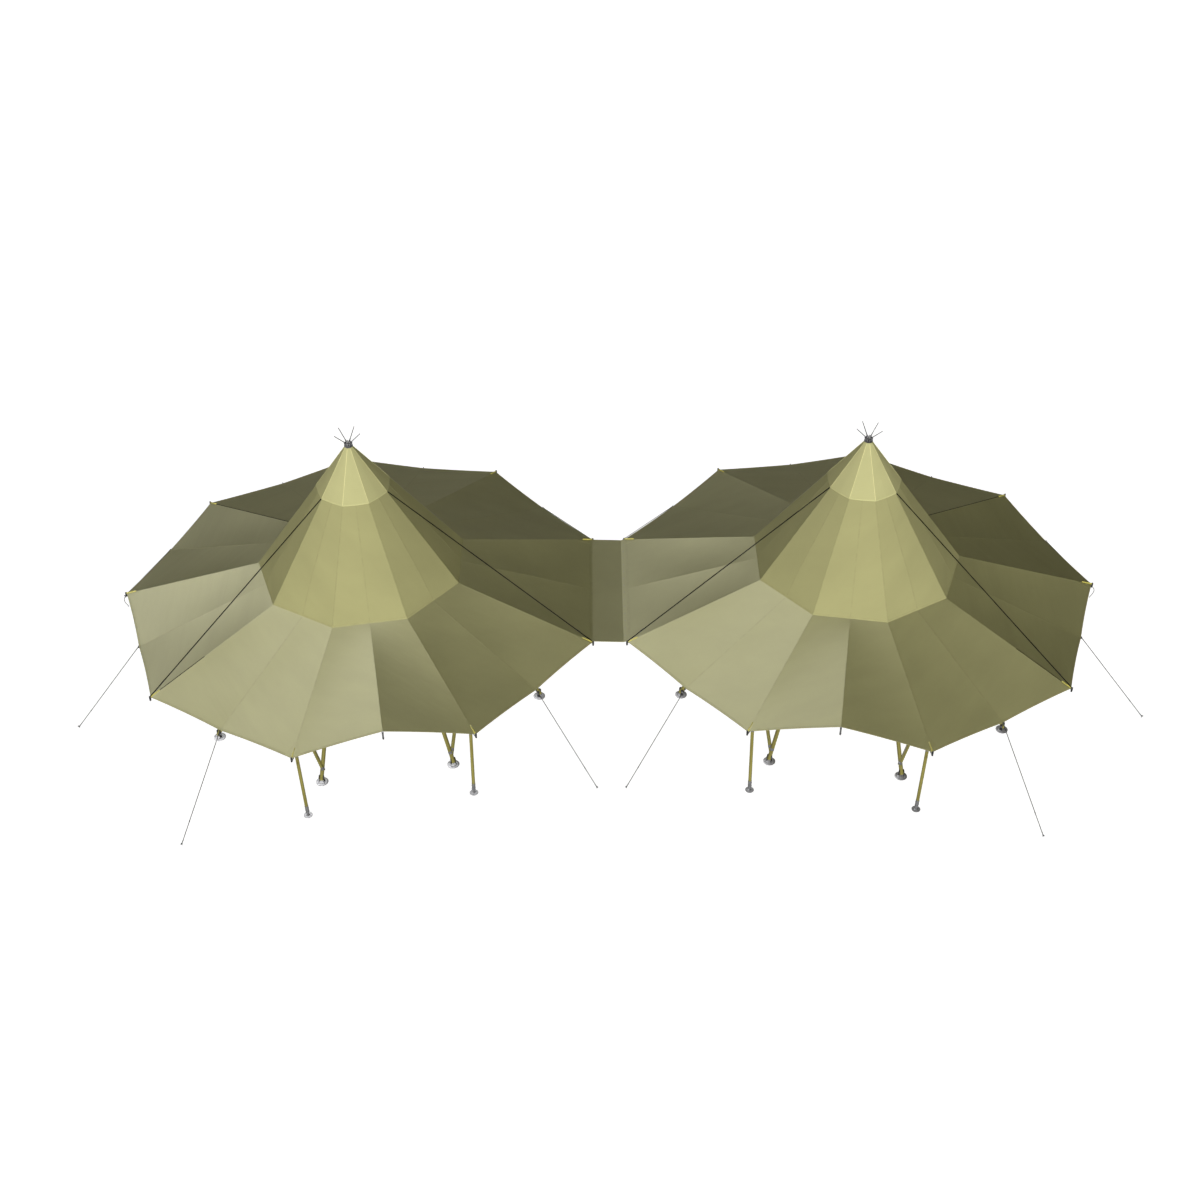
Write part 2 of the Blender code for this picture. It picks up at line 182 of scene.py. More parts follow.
class Form:
    """Closed shapes that make up one piece. Each point has a place in its material's own
    coordinates and a tone, and each face a number into the piece's materials."""

    def __init__(self):
        self.points = []
        self.grain = []
        self.tones = []
        self.faces = []
        self.finish = []

    def add(self, points, faces, grain=None, tones=None, finish=0):
        start = len(self.points)
        self.points += points
        self.grain += grain or points
        self.tones += tones or [1.0] * len(points)
        self.faces += [tuple(start + i for i in face) for face in faces]
        self.finish += [finish] * len(faces)

    def add_rings(self, rings, loop=False, grain=None, tones=None, finish=0):
        """A skin over closed rings of equal length, with flat ends unless the rings close a loop."""
        size, count = len(rings[0]), len(rings)
        faces = []
        for level in range(count if loop else count - 1):
            low, high = level * size, (level + 1) % count * size
            for i in range(size):
                j = (i + 1) % size
                faces.append((low + i, low + j, high + j, high + i))
        if not loop:
            faces.append(tuple(range(size)))
            faces.append(tuple(range((count - 1) * size, count * size)))
        flat = [point for ring in rings for point in ring]
        grain = [point for ring in grain for point in ring] if grain else None
        tones = [tone for ring in tones for tone in ring] if tones else None
        self.add(flat, faces, grain, tones, finish)


def axis_matrix(start, end):
    """Puts the z axis along the line from start to end."""
    turned = (end - start).to_track_quat("Z", "Y").to_matrix().to_4x4()
    return Matrix.Translation(start) @ turned


def add_turned(form, matrix, stages, segments=24, finish=0, shift=0.0, wobble=0.0):
    """A turned shape from (height, radius) stages about matrix's z axis."""
    rings, grain = [], []
    for height, radius in stages:
        ring = []
        for i in range(segments):
            angle = 2 * math.pi * i / segments
            ring.append(polar(radius, angle, height))
        if wobble:
            ring = [p * (1 + wobble * noise.noise(p * 3 + Vector((shift, 0, 0)))) for p in ring]
            ring = [Vector((p.x, p.y, height)) for p in ring]
        rings.append([matrix @ p for p in ring])
        grain.append([p + Vector((shift, shift, shift)) for p in ring])
    form.add_rings(rings, grain=grain, finish=finish)


def add_sweep(form, path, radius, segments=8, loop=False, finish=0, lobes=0, pitch=1.0):
    """A round bar along a path. With lobes it is a rope of that many strands, one turn a pitch."""
    count = len(path)
    rings, grain = [], []
    across, travelled = None, 0.0
    for n, point in enumerate(path):
        before = path[n - 1] if n or loop else point
        after = path[(n + 1) % count] if n < count - 1 or loop else point
        along = (after - before).normalized()
        if across is None:
            helper = Vector((0, 0, 1)) if abs(along.z) < 0.9 else Vector((1, 0, 0))
            across = along.cross(helper).normalized()
        across = (across - along * across.dot(along)).normalized()
        other = along.cross(across)
        if n:
            travelled += (point - path[n - 1]).length
        ring, marks = [], []
        for i in range(segments):
            angle = 2 * math.pi * i / segments
            twist = 2 * math.pi * travelled / pitch
            size = radius * (1 + 0.16 * math.cos(lobes * (angle - twist))) if lobes else radius
            ring.append(point + (across * math.cos(angle) + other * math.sin(angle)) * size)
            marks.append(Vector((size * math.cos(angle), size * math.sin(angle), travelled)))
        rings.append(ring)
        grain.append(marks)
    form.add_rings(rings, loop=loop, grain=grain, finish=finish)


def add_block(form, low, high, edge=0.002, matrix=Matrix.Identity(4), finish=0):
    """A block with bevelled edges."""
    rings = []
    for z, inset in ((low[2], edge), (low[2] + edge, 0), (high[2] - edge, 0), (high[2], edge)):
        x0, x1, y0, y1 = low[0] + inset, high[0] - inset, low[1] + inset, high[1] - inset
        outline = [
            (x0 + edge, y0), (x1 - edge, y0), (x1, y0 + edge), (x1, y1 - edge),
            (x1 - edge, y1), (x0 + edge, y1), (x0, y1 - edge), (x0, y0 + edge),
        ]
        rings.append([matrix @ Vector((x, y, z)) for x, y in outline])
    form.add_rings(rings, finish=finish)


def add_plate(form, outline, thickness, matrix, edge=0.0015, finish=0):
    """A flat plate of an outline in matrix's xy plane, centred on it, with bevelled edges."""
    centre = sum((Vector(p) for p in outline), Vector((0, 0))) / len(outline)
    rings = []
    half = thickness / 2
    for z, inset in ((-half, edge), (edge - half, 0), (half - edge, 0), (half, edge)):
        ring = []
        for p in outline:
            spoke = Vector(p) - centre
            q = centre + spoke * (1 - inset / spoke.length)
            ring.append(matrix @ Vector((q.x, q.y, z)))
        rings.append(ring)
    form.add_rings(rings, finish=finish)


def add_bolt(form, start, end, radius, finish=0):
    """A bolt through a joint: hexagon head and washer at start, washer, nut and thread at end."""
    matrix = axis_matrix(start, end)
    length = (end - start).length
    head, washer = radius * 1.3, radius * 0.3
    add_turned(form, matrix, [(0, radius * 0.7), (length, radius * 0.7)], 12, finish)
    for z0, z1 in ((-head - washer, -washer), (length + washer, length + washer + head)):
        bevel = radius * 0.15
        stages = [(z0, radius * 1.5), (z0 + bevel, radius * 1.7), (z1 - bevel, radius * 1.7)]
        add_turned(form, matrix, stages + [(z1, radius * 1.5)], 6, finish)
    for z0, z1 in ((-washer, 0), (length, length + washer)):
        add_turned(form, matrix, [(z0, radius * 2.1), (z1, radius * 2.1)], 20, finish)
    tip = length + washer + head
    add_turned(form, matrix, [(tip, radius * 0.68), (tip + radius * 0.6, radius * 0.55)], 12, finish)


def make_piece(name, form, place, materials, replaced=(), crease=30):
    mesh = bpy.data.meshes.new(name)
    mesh.from_pydata([place @ point for point in form.points], [], form.faces)
    shape = bmesh.new()
    shape.from_mesh(mesh)
    bmesh.ops.recalc_face_normals(shape, faces=shape.faces)
    shape.to_mesh(mesh)
    shape.free()
    grain = mesh.attributes.new("grain", "FLOAT_VECTOR", "POINT")
    grain.data.foreach_set("vector", [value for point in form.grain for value in point])
    tone = mesh.attributes.new("tone", "FLOAT", "POINT")
    tone.data.foreach_set("value", form.tones)
    for material in materials:
        mesh.materials.append(material)
    mesh.polygons.foreach_set("material_index", form.finish)
    mesh.shade_smooth()
    mesh.set_sharp_from_angle(angle=math.radians(crease))
    piece = bpy.data.objects.new(name, mesh)
    bpy.context.scene.collection.objects.link(piece)
    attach(piece, "root")
    if replaced:
        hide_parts(*replaced)
    return piece


# Materials

def add_node(tree, kind, inputs, **settings):
    """A node with its settings, and its inputs by name or number: a value, or a socket to link."""
    node = tree.nodes.new(kind)
    for name, value in settings.items():
        setattr(node, name, value)
    for name, value in inputs.items():
        if isinstance(value, bpy.types.NodeSocket):
            tree.links.new(value, node.inputs[name])
        else:
            node.inputs[name].default_value = value
    return node


def new_material(name, roughness, metallic=0.0, specular=0.5, tint=(1.0, 1.0, 1.0)):
    material = bpy.data.materials.new(name)
    material.use_nodes = True
    tree = material.node_tree
    shader = tree.nodes["Principled BSDF"]
    shader.inputs["Roughness"].default_value = roughness
    shader.inputs["Metallic"].default_value = metallic
    shader.inputs["Specular IOR Level"].default_value = specular
    shader.inputs["Specular Tint"].default_value = (*tint, 1.0)
    return material, tree, shader


def grain_vector(tree, scale=(1, 1, 1)):
    attribute = add_node(tree, "ShaderNodeAttribute", {}, attribute_name="grain")
    mapping = add_node(tree, "ShaderNodeMapping", {"Vector": attribute.outputs["Vector"]})
    mapping.inputs["Scale"].default_value = scale
    return mapping.outputs["Vector"]


def noise_factor(tree, vector, scale, detail=3.0, rough=0.55):
    inputs = {"Vector": vector, "Scale": scale, "Detail": detail, "Roughness": rough}
    return add_node(tree, "ShaderNodeTexNoise", inputs).outputs[0]


def ramp(tree, factor, stops):
    """A colour ramp from (position, colour) stops."""
    node = add_node(tree, "ShaderNodeValToRGB", {"Fac": factor})
    elements = node.color_ramp.elements
    while len(elements) < len(stops):
        elements.new(0.5)
    for element, (position, colour) in zip(elements, stops):
        element.position = position
        element.color = (*colour, 1.0)
    return node.outputs["Color"]


def shade(colour, factor):
    return tuple(channel * factor for channel in colour)


def bump(tree, height, distance, strength, normal=None):
    inputs = {"Height": height, "Distance": distance, "Strength": strength}
    if normal:
        inputs["Normal"] = normal
    return add_node(tree, "ShaderNodeBump", inputs).outputs["Normal"]


def canvas_material(name, colour, roughness, weave=0.0030):
    """Woven cloth: soft blotches, a tone for each panel, threads and faint puckers."""
    material, tree, shader = new_material(name, roughness, specular=0.4, tint=CLOTH_GLOSS)
    wave_scale = 0.31416 / weave
    flat = grain_vector(tree)
    blotch = noise_factor(tree, flat, 0.9, detail=5.0)
    stops = [(0.25, shade(colour, 0.93)), (0.55, colour), (0.80, shade(colour, 1.06))]
    tint = ramp(tree, blotch, stops)
    tone = add_node(tree, "ShaderNodeAttribute", {}, attribute_name="tone")
    scaled = add_node(
        tree, "ShaderNodeVectorMath", {0: tint, "Scale": tone.outputs["Fac"]}, operation="SCALE"
    )
    tree.links.new(scaled.outputs[0], shader.inputs["Base Color"])
    threads = []
    for direction in ("X", "Y"):
        inputs = {"Vector": flat, "Scale": wave_scale, "Distortion": 0.4, "Detail": 1.0}
        wave = add_node(tree, "ShaderNodeTexWave", inputs, bands_direction=direction)
        threads.append(wave.outputs["Fac"])
    cloth = add_node(tree, "ShaderNodeMath", {0: threads[0], 1: threads[1]}, operation="ADD")
    puckers = noise_factor(tree, grain_vector(tree, (5.0, 1.6, 1.0)), 1.0, detail=4.0)
    normal = bump(tree, puckers, 0.012, 0.25)
    normal = bump(tree, cloth.outputs[0], 0.0004, 0.25, normal)
    tree.links.new(normal, shader.inputs["Normal"])
    return material


def seam_material(name, colour, roughness):
    """Taped seam in the colour given, with a row of stitches near each edge. The seams are a little darker
    than the cloth; the hem's further darkness is painted shade and the cap tapes' paleness a painted
    highlight.
    """
    material, tree, shader = new_material(name, roughness, specular=0.4, tint=CLOTH_GLOSS)
    flat = grain_vector(tree)
    blotch = noise_factor(tree, flat, 6.0, detail=4.0)
    tint = ramp(tree, blotch, [(0.3, shade(colour, 0.92)), (0.7, shade(colour, 1.05))])
    tree.links.new(tint, shader.inputs["Base Color"])
    inputs = {"Vector": flat, "Scale": 52.0, "Distortion": 0.0}
    stitches = add_node(tree, "ShaderNodeTexWave", inputs, bands_direction="Y")
    normal = bump(tree, stitches.outputs["Fac"], 0.0006, 0.35)
    tree.links.new(normal, shader.inputs["Normal"])
    return material


def wood_material(name, light, dark):
    """Round timber: grain along the pole, paler and darker streaks, and a few knots."""
    material, tree, shader = new_material(name, 0.50)
    streaks = noise_factor(tree, grain_vector(tree, (38.0, 38.0, 0.9)), 1.0, detail=6.0)
    tint = ramp(tree, streaks, [(0.28, dark), (0.50, shade(light, 0.86)), (0.72, light)])
    knot_cells = add_node(
        tree,
        "ShaderNodeTexVoronoi",
        {"Vector": grain_vector(tree, (9.0, 9.0, 2.2)), "Scale": 1.0},
    )
    knots = ramp(tree, knot_cells.outputs["Distance"], [(0.07, (1, 1, 1)), (0.16, (0, 0, 0))])
    blend = add_node(tree, "ShaderNodeMix", {0: knots, 6: tint}, data_type="RGBA")
    blend.inputs[7].default_value = (*shade(dark, 0.55), 1.0)
    tree.links.new(blend.outputs[2], shader.inputs["Base Color"])
    fibres = noise_factor(tree, grain_vector(tree, (160.0, 160.0, 4.0)), 1.0, detail=3.0)
    gloss = add_node(tree, "ShaderNodeMapRange", {0: fibres, 3: 0.42, 4: 0.62})
    tree.links.new(gloss.outputs[0], shader.inputs["Roughness"])
    normal = bump(tree, fibres, 0.0008, 0.35)
    tree.links.new(normal, shader.inputs["Normal"])
    return material


def steel_material(name, colour, roughness):
    """Zinc-coated steel: patches of crystal, smears and fine scratches."""
    material, tree, shader = new_material(name, roughness, metallic=0.40)
    place = grain_vector(tree)
    cells = add_node(tree, "ShaderNodeTexVoronoi", {"Vector": place, "Scale": 55.0})
    tint = ramp(tree, cells.outputs["Color"], [(0.2, shade(colour, 0.80)), (0.8, shade(colour, 1.12))])
    tree.links.new(tint, shader.inputs["Base Color"])
    smears = noise_factor(tree, place, 14.0, detail=5.0)
    gloss = add_node(tree, "ShaderNodeMapRange", {0: smears, 3: roughness - 0.12, 4: roughness + 0.15})
    tree.links.new(gloss.outputs[0], shader.inputs["Roughness"])
    scratches = noise_factor(tree, grain_vector(tree, (240, 240, 30)), 1.0, detail=2.0)
    tree.links.new(bump(tree, scratches, 0.0003, 0.2), shader.inputs["Normal"])
    return material


def ribbed_material(name, colour, roughness, rib):
    """Woven strap or cord: ribs along its length and uneven dye."""
    material, tree, shader = new_material(name, roughness, specular=0.05)
    flat = grain_vector(tree)
    blotch = noise_factor(tree, flat, 12.0, detail=4.0)
    tint = ramp(tree, blotch, [(0.3, shade(colour, 0.80)), (0.7, shade(colour, 1.20))])
    tree.links.new(tint, shader.inputs["Base Color"])
    inputs = {"Vector": flat, "Scale": 0.31416 / rib, "Distortion": 0.3}
    ribs = add_node(tree, "ShaderNodeTexWave", inputs, bands_direction="Z")
    tree.links.new(bump(tree, ribs.outputs["Fac"], 0.0005, 0.4), shader.inputs["Normal"])
    return material


def moulded_material(name, colour, roughness):
    """Moulded plastic or paint: a fine orange-peel surface, scuffed here and there."""
    material, tree, shader = new_material(name, roughness)
    place = grain_vector(tree)
    blotch = noise_factor(tree, place, 9.0, detail=4.0)
    tint = ramp(tree, blotch, [(0.3, shade(colour, 0.86)), (0.75, shade(colour, 1.08))])
    tree.links.new(tint, shader.inputs["Base Color"])
    peel = noise_factor(tree, place, 260.0, detail=2.0)
    gloss = add_node(tree, "ShaderNodeMapRange", {0: blotch, 3: roughness - 0.08, 4: roughness + 0.12})
    tree.links.new(gloss.outputs[0], shader.inputs["Roughness"])
    tree.links.new(bump(tree, peel, 0.0003, 0.25), shader.inputs["Normal"])
    return material


CANVAS_COLOUR = (0.325, 0.311, 0.148)
CAP_COLOUR = (0.430, 0.415, 0.205)
CLOTH_GLOSS = (1.0, 0.98, 0.62)

CANVAS = canvas_material("canvas", CANVAS_COLOUR, 0.46)
CAP_CANVAS = canvas_material("cap_canvas", CAP_COLOUR, 0.46)
SEAM = seam_material("seam_tape", shade(CANVAS_COLOUR, 0.95), 0.46)
# The hem tape is darker than the cloth: partly a real doubled hem, partly painted shade that dulls the lit
# outer edge of the hem.
SHADED_HEM = seam_material("hem_tape_shaded", shade(CANVAS_COLOUR, 0.93), 0.5)
# The cap's ridge tapes are paler than the cap: a painted highlight along its ridges.
CAP_RIDGE_HIGHLIGHT = seam_material("cap_tape_highlight", (0.62, 0.59, 0.30), 0.5)
WOOD = wood_material("timber", (0.235, 0.212, 0.058), (0.130, 0.108, 0.030))
STEEL = steel_material("zinc_steel", (0.21, 0.21, 0.222), 0.40)
GREY_STEEL = steel_material("grey_steel", (0.17, 0.17, 0.18), 0.42)
DARK_STEEL = steel_material("dark_steel", (0.035, 0.035, 0.038), 0.45)
WEBBING = ribbed_material("black_webbing", (0.004, 0.004, 0.004), 0.75, 0.006)
ROPE = ribbed_material("grey_rope", (0.055, 0.055, 0.053), 0.80, 0.008)
YELLOW = moulded_material("yellow_paint", (0.52, 0.47, 0.10), 0.40)
BLACK = moulded_material("black_plastic", (0.02, 0.02, 0.022), 0.45)


# Surfaces of the cloth: q counts the lines round the tent and s runs down the roof from 0 to 1

def line_angle(line):
    return BAY_ANGLE / 2 * (line + 1)


def skirt_line(line):
    """The upper and the lower end of one of the skirt's lines."""
    angle = line_angle(line)
    if line % 2 == 0:
        return polar(KNUCKLE_R, angle, KNUCKLE_Z), polar(EAVE_R, angle, EAVE_Z)
    top = polar(KNUCKLE_R * CHORD, angle, KNUCKLE_Z)
    if line == ENTRANCE_LINE:
        return top, polar(ENTRANCE_R, angle, ENTRANCE_Z)
    z = EAVE_Z if line == LINK_LINE else VALLEY_Z
    return top, polar(EAVE_R * CHORD, angle, z)


SKIRT_ENDS = [skirt_line(line) for line in range(LINES)]
SKIRT_LENGTH = math.hypot(EAVE_R - KNUCKLE_R, KNUCKLE_Z - EAVE_Z)


def skirt_point(q, s):
    """The skirt hangs from the knuckle to the eave, and sags a little in each half bay. Its hem
    is cut in shallow curves."""
    line = math.floor(q)
    share = q - line
    middle = 4 * share * (1 - share)
    s = s - HEM_CURVE / SKIRT_LENGTH * middle * max(s, 0) ** 5
    first = SKIRT_ENDS[line % LINES][0].lerp(SKIRT_ENDS[line % LINES][1], s)
    second = SKIRT_ENDS[(line + 1) % LINES][0].lerp(SKIRT_ENDS[(line + 1) % LINES][1], s)
    sag = SKIRT_SAG * middle * math.sin(math.pi * min(max(s, 0), 1))
    return first.lerp(second, share) - Vector((0, 0, sag))


def roof_point(q, radius, bulge, rise=0.0):
    """A point of the steep roof, at the height where its corners have this radius. The cloth
    stands out from the straight line between two corners by a share of the way to the circle."""
    line = math.floor(q)
    share = q - line
    off = 1 - share if line % 2 == 0 else share
    chord = radius * CHORD / math.cos(off * BAY_ANGLE / 2)
    out = radius * (1 - CHORD) * bulge * (0.5 * (1 - off * off) + 0.5 * (1 - off))
    return polar(chord + out, line_angle(q), roof_z(radius) + rise)


def cone_point(q, s):
    radius = CONE_TOP_R + (KNUCKLE_R - CONE_TOP_R) * s
    fade = min(1.0, (1 - s) / 0.25) if s < 1 else 0.0
    return roof_point(q, radius, CONE_BULGE * fade)


def cap_point(q, s):
    radius = COLLAR_HOLE_R + (CAP_R - COLLAR_HOLE_R) * s
    return roof_point(q, radius, CAP_BULGE, CAP_RISE)


def normal_at(surface, q, s):
    small_q, small_s = 0.003, 0.002
    across = surface(q + small_q, s) - surface(q - small_q, s)
    down = surface(q, min(s + small_s, 1)) - surface(q, max(s - small_s, 0))
    normal = across.cross(down).normalized()
    return normal if normal.z > 0 else -normal


def eased(count):
    """Shares from 0 to 1 that lie closer together near both ends."""
    return [0.5 - 0.5 * math.cos(math.pi * i / count) for i in range(count + 1)]


Q_COLUMNS = [line + share for line in range(LINES) for share in eased(HALF_BAY_COLUMNS)[:-1]]


def cloth_grain(q, s, width, length):
    """Place on the flat cloth: across from the link's bay, both ways round, and down the roof."""
    return Vector((min(q, LINES - q) * width, s * length, 0))


def panel_tone(q):
    return 1 + 0.018 * noise.noise(Vector((math.floor(q) * 7.3, 1.7, 0.5)))


def cloth_shell(surface, rows, drop, length):
    form = Form()
    rings, grain, tones = [], [], []
    for s in eased(rows):
        width = (surface(1.0, s) - surface(0.0, s)).length
        rings.append([surface(q, s) for q in Q_COLUMNS])
        grain.append([cloth_grain(q, s, width, length) for q in Q_COLUMNS])
        tones.append([panel_tone(q) for q in Q_COLUMNS])
    inner = [[point - Vector((0, 0, drop)) for point in ring] for ring in rings[::-1]]
    form.add_rings(rings + inner, loop=True, grain=grain + grain[::-1], tones=tones + tones[::-1])
    return form


def flat_area(surface, rows):
    """Area of one side of the cloth."""
    total = 0.0
    shares = eased(rows)
    for top, bottom in zip(shares, shares[1:]):
        for n, q in enumerate(Q_COLUMNS):
            after = Q_COLUMNS[n + 1] if n + 1 < len(Q_COLUMNS) else float(LINES)
            a, b = surface(q, top), surface(after, top)
            c, d = surface(after, bottom), surface(q, bottom)
            total += ((c - a).cross(d - b)).length / 2
    return total


def add_tape(form, surface, line, top, bottom, half_width, lift, length, steps=24, finish=0):
    """A strip of tape down a line of the cloth."""
    rings, grain = [], []
    offsets = (-1.0, -0.5, 0.0, 0.5, 1.0)
    for i in range(steps + 1):
        s = top + (bottom - top) * i / steps
        spread = (surface(line + 0.01, s) - surface(line - 0.01, s)).length / 0.02
        upper, lower, marks = [], [], []
        for offset in offsets:
            q = line + offset * half_width / spread
            point, normal = surface(q, s), normal_at(surface, q, s)
            upper.append(point + normal * lift)
            lower.append(point - normal * lift)
            marks.append(Vector((offset * half_width, s * length, 0)))
        rings.append(upper + lower[::-1])
        grain.append(marks + marks[::-1])
    form.add_rings(rings, grain=grain, finish=finish)


def add_hem(form, surface, width, length, lift, drop, edge=1.0, finish=0):
    """A folded hem round the whole lower edge of the cloth."""
    rings, grain = [], []
    inner = edge - width / length
    travelled = 0.0
    for n, q in enumerate(Q_COLUMNS):
        inside, outside = surface(q, inner), surface(q, edge)
        normal = normal_at(surface, q, edge - 0.004)
        beyond = (outside - inside).normalized() * 0.003
        below = Vector((0, 0, -drop))
        if n:
            travelled += (outside - surface(Q_COLUMNS[n - 1], edge)).length
        rings.append(
            [
                inside + normal * lift,
                outside + normal * lift,
                outside + beyond + normal * lift * 0.4,
                outside + beyond + below - normal * lift * 0.4,
                outside + below - normal * lift,
                inside + below - normal * lift,
            ]
        )
        across = (0, width, width + 0.003, width + 0.006, width + 0.008, 2 * width)
        grain.append([Vector((a, travelled, 0)) for a in across])
    form.add_rings(rings, loop=True, grain=grain, finish=finish)


def add_corner_patch(form, corner, reach, half_width, lift, finish=0):
    """A three-cornered patch that stiffens the skirt where its corner is clamped."""
    line = 2 * (corner - 1)
    rings, grain = [], []
    offsets = (-1.0, -0.5, 0.0, 0.5, 1.0)
    steps = 10
    for i in range(steps + 1):
        share = i / steps
        s = 1 - reach * (1 - share) / SKIRT_LENGTH - 0.004
        spread = (skirt_point(line + 0.01, s) - skirt_point(line - 0.01, s)).length / 0.02
        wide = 0.012 + (half_width - 0.012) * share
        upper, lower, marks = [], [], []
        for offset in offsets:
            q = line + offset * wide / spread
            point, normal = skirt_point(q, s), normal_at(skirt_point, q, s)
            upper.append(point + normal * lift)
            lower.append(point - normal * lift * 0.2)
            marks.append(Vector((offset * wide, share * reach, 0)))
        rings.append(upper + lower[::-1])
        grain.append(marks + marks[::-1])
    form.add_rings(rings, grain=grain, finish=finish)


def make_skirt(prefix, place):
    area = flat_area(skirt_point, SKIRT_ROWS)
    form = cloth_shell(skirt_point, SKIRT_ROWS, CLOTH_DROP, SKIRT_LENGTH)
    cloth = make_piece(
        f"{prefix}_skirt_cloth", form, place, [CANVAS], [f"{prefix}_skirt"], crease=9
    )
    form = Form()
    for line in range(LINES):
        add_tape(form, skirt_point, line, 0.012, 0.985, 0.019, 0.0012, SKIRT_LENGTH)
    seams = make_piece(f"{prefix}_skirt_seams", form, place, [SEAM])
    form = Form()
    add_hem(form, skirt_point, 0.055, SKIRT_LENGTH, 0.0012, CLOTH_DROP)
    for corner in CORNERS:
        add_corner_patch(form, corner, 0.42, 0.17, 0.0024, finish=1)
    # The hem's darker tape is partly painted shade.
    hem = make_piece(f"{prefix}_skirt_hem", form, place, [SHADED_HEM, CANVAS])


def make_cone(prefix, place):
    length = (KNUCKLE_R - CONE_TOP_R) * math.hypot(1, ROOF_SLOPE)
    area = flat_area(cone_point, CONE_ROWS)
    form = cloth_shell(cone_point, CONE_ROWS, CLOTH_DROP, length)
    cloth = make_piece(
        f"{prefix}_cone_cloth", form, place, [CANVAS], [f"{prefix}_cone"], crease=50
    )
    form = Form()
    for line in range(LINES):
        add_tape(form, cone_point, line, 0.005, 0.985, 0.016, 0.0012, length)
    add_hem(form, cone_point, 0.045, length, 0.0016, CLOTH_DROP, edge=0.9995)
    seams = make_piece(f"{prefix}_cone_seams", form, place, [SEAM])


def make_cap(prefix, place):
    length = (CAP_R - COLLAR_HOLE_R) * math.hypot(1, ROOF_SLOPE)
    area = flat_area(cap_point, CAP_ROWS)
    form = cloth_shell(cap_point, CAP_ROWS, CAP_DROP, length)
    cloth = make_piece(
        f"{prefix}_cap_cloth", form, place, [CAP_CANVAS], [f"{prefix}_cap"], crease=50
    )
    form = Form()
    # Tapes on the cap's ridges, paler than the cap: a painted highlight along the ridges.
    for line in range(0, LINES, 2):
        add_tape(form, cap_point, line, 0.02, 0.995, 0.006, 0.0022, length)
    strips = make_piece(f"{prefix}_cap_strips", form, place, [CAP_RIDGE_HIGHLIGHT])
    form = Form()
    add_hem(form, cap_point, 0.030, length, 0.0020, CAP_DROP)
    hem = make_piece(f"{prefix}_cap_hem", form, place, [CAP_CANVAS])


# Poles

def timber_stages(length, radius):
    """A round pole with eased ends, and rings close enough for its slight unevenness."""
    stages = [(0, radius - 0.006), (0.003, radius - 0.002), (0.010, radius)]
    count = max(4, round(length / 0.22))
    stages += [(0.010 + (length - 0.020) * i / count, radius) for i in range(1, count)]
    return stages + [(length - 0.008, radius), (length - 0.002, radius - 0.002), (length, radius - 0.005)]


def add_timber(form, start, end, radius, shift, matrix):
    length = (end - start).length
    world = matrix @ axis_matrix(start, end)
    add_turned(form, world, timber_stages(length, radius), 24, shift=shift, wobble=0.012)


def brace_ends(corner):
    """Lower and upper end of a brace in its pole's frame, or None, and the pole it leans on."""
    if corner in FOOT_BRACE_CORNERS:
        start, step, top_z = main_pole_point(FOOT_BRACE_LOW_Z), -1, FOOT_BRACE_TOP_Z
    elif corner in FREE_BRACE_CORNERS:
        beside = Vector((FREE_BRACE_OUT, -FREE_BRACE_ASIDE, 0))
        start, step, top_z = main_pole_point(FREE_BRACE_LOW_Z) + beside, 1, FREE_BRACE_TOP_Z
    else:
        return None
    target = turn(step * BAY_ANGLE) @ main_pole_point(top_z)
    along = (target - start).normalized()
    axis = (turn(step * BAY_ANGLE) @ main_pole_point(top_z + 1) - target).normalized()
    lean = along.cross(axis).length
    return start, target - along * (MAIN_POLE_RADIUS + 0.006) / lean, step, target, axis


def make_main_poles(prefix, place):
    timbers, steel = Form(), Form()
    for corner in CORNERS:
        matrix = turn(corner_angle(corner))
        add_timber(timbers, main_pole_point(0.078), main_pole_point(5.668), MAIN_POLE_RADIUS - 0.0005,
                   corner * 1.37, matrix)
        brace = brace_ends(corner)
        if brace:
            add_timber(timbers, brace[0], brace[1], BRACE_RADIUS - 0.0005, corner * 2.11 + 20, matrix)
            add_brace_fittings(steel, brace, matrix, corner in FOOT_BRACE_CORNERS)
        add_main_foot(steel, matrix)
        add_pole_socket(steel, matrix)
    nodes = [f"{prefix}_main_pole_{corner}" for corner in CORNERS]
    make_piece(f"{prefix}_main_timbers", timbers, place, [WOOD], nodes)
    make_piece(f"{prefix}_main_feet", steel, place, [STEEL, DARK_STEEL], nodes)


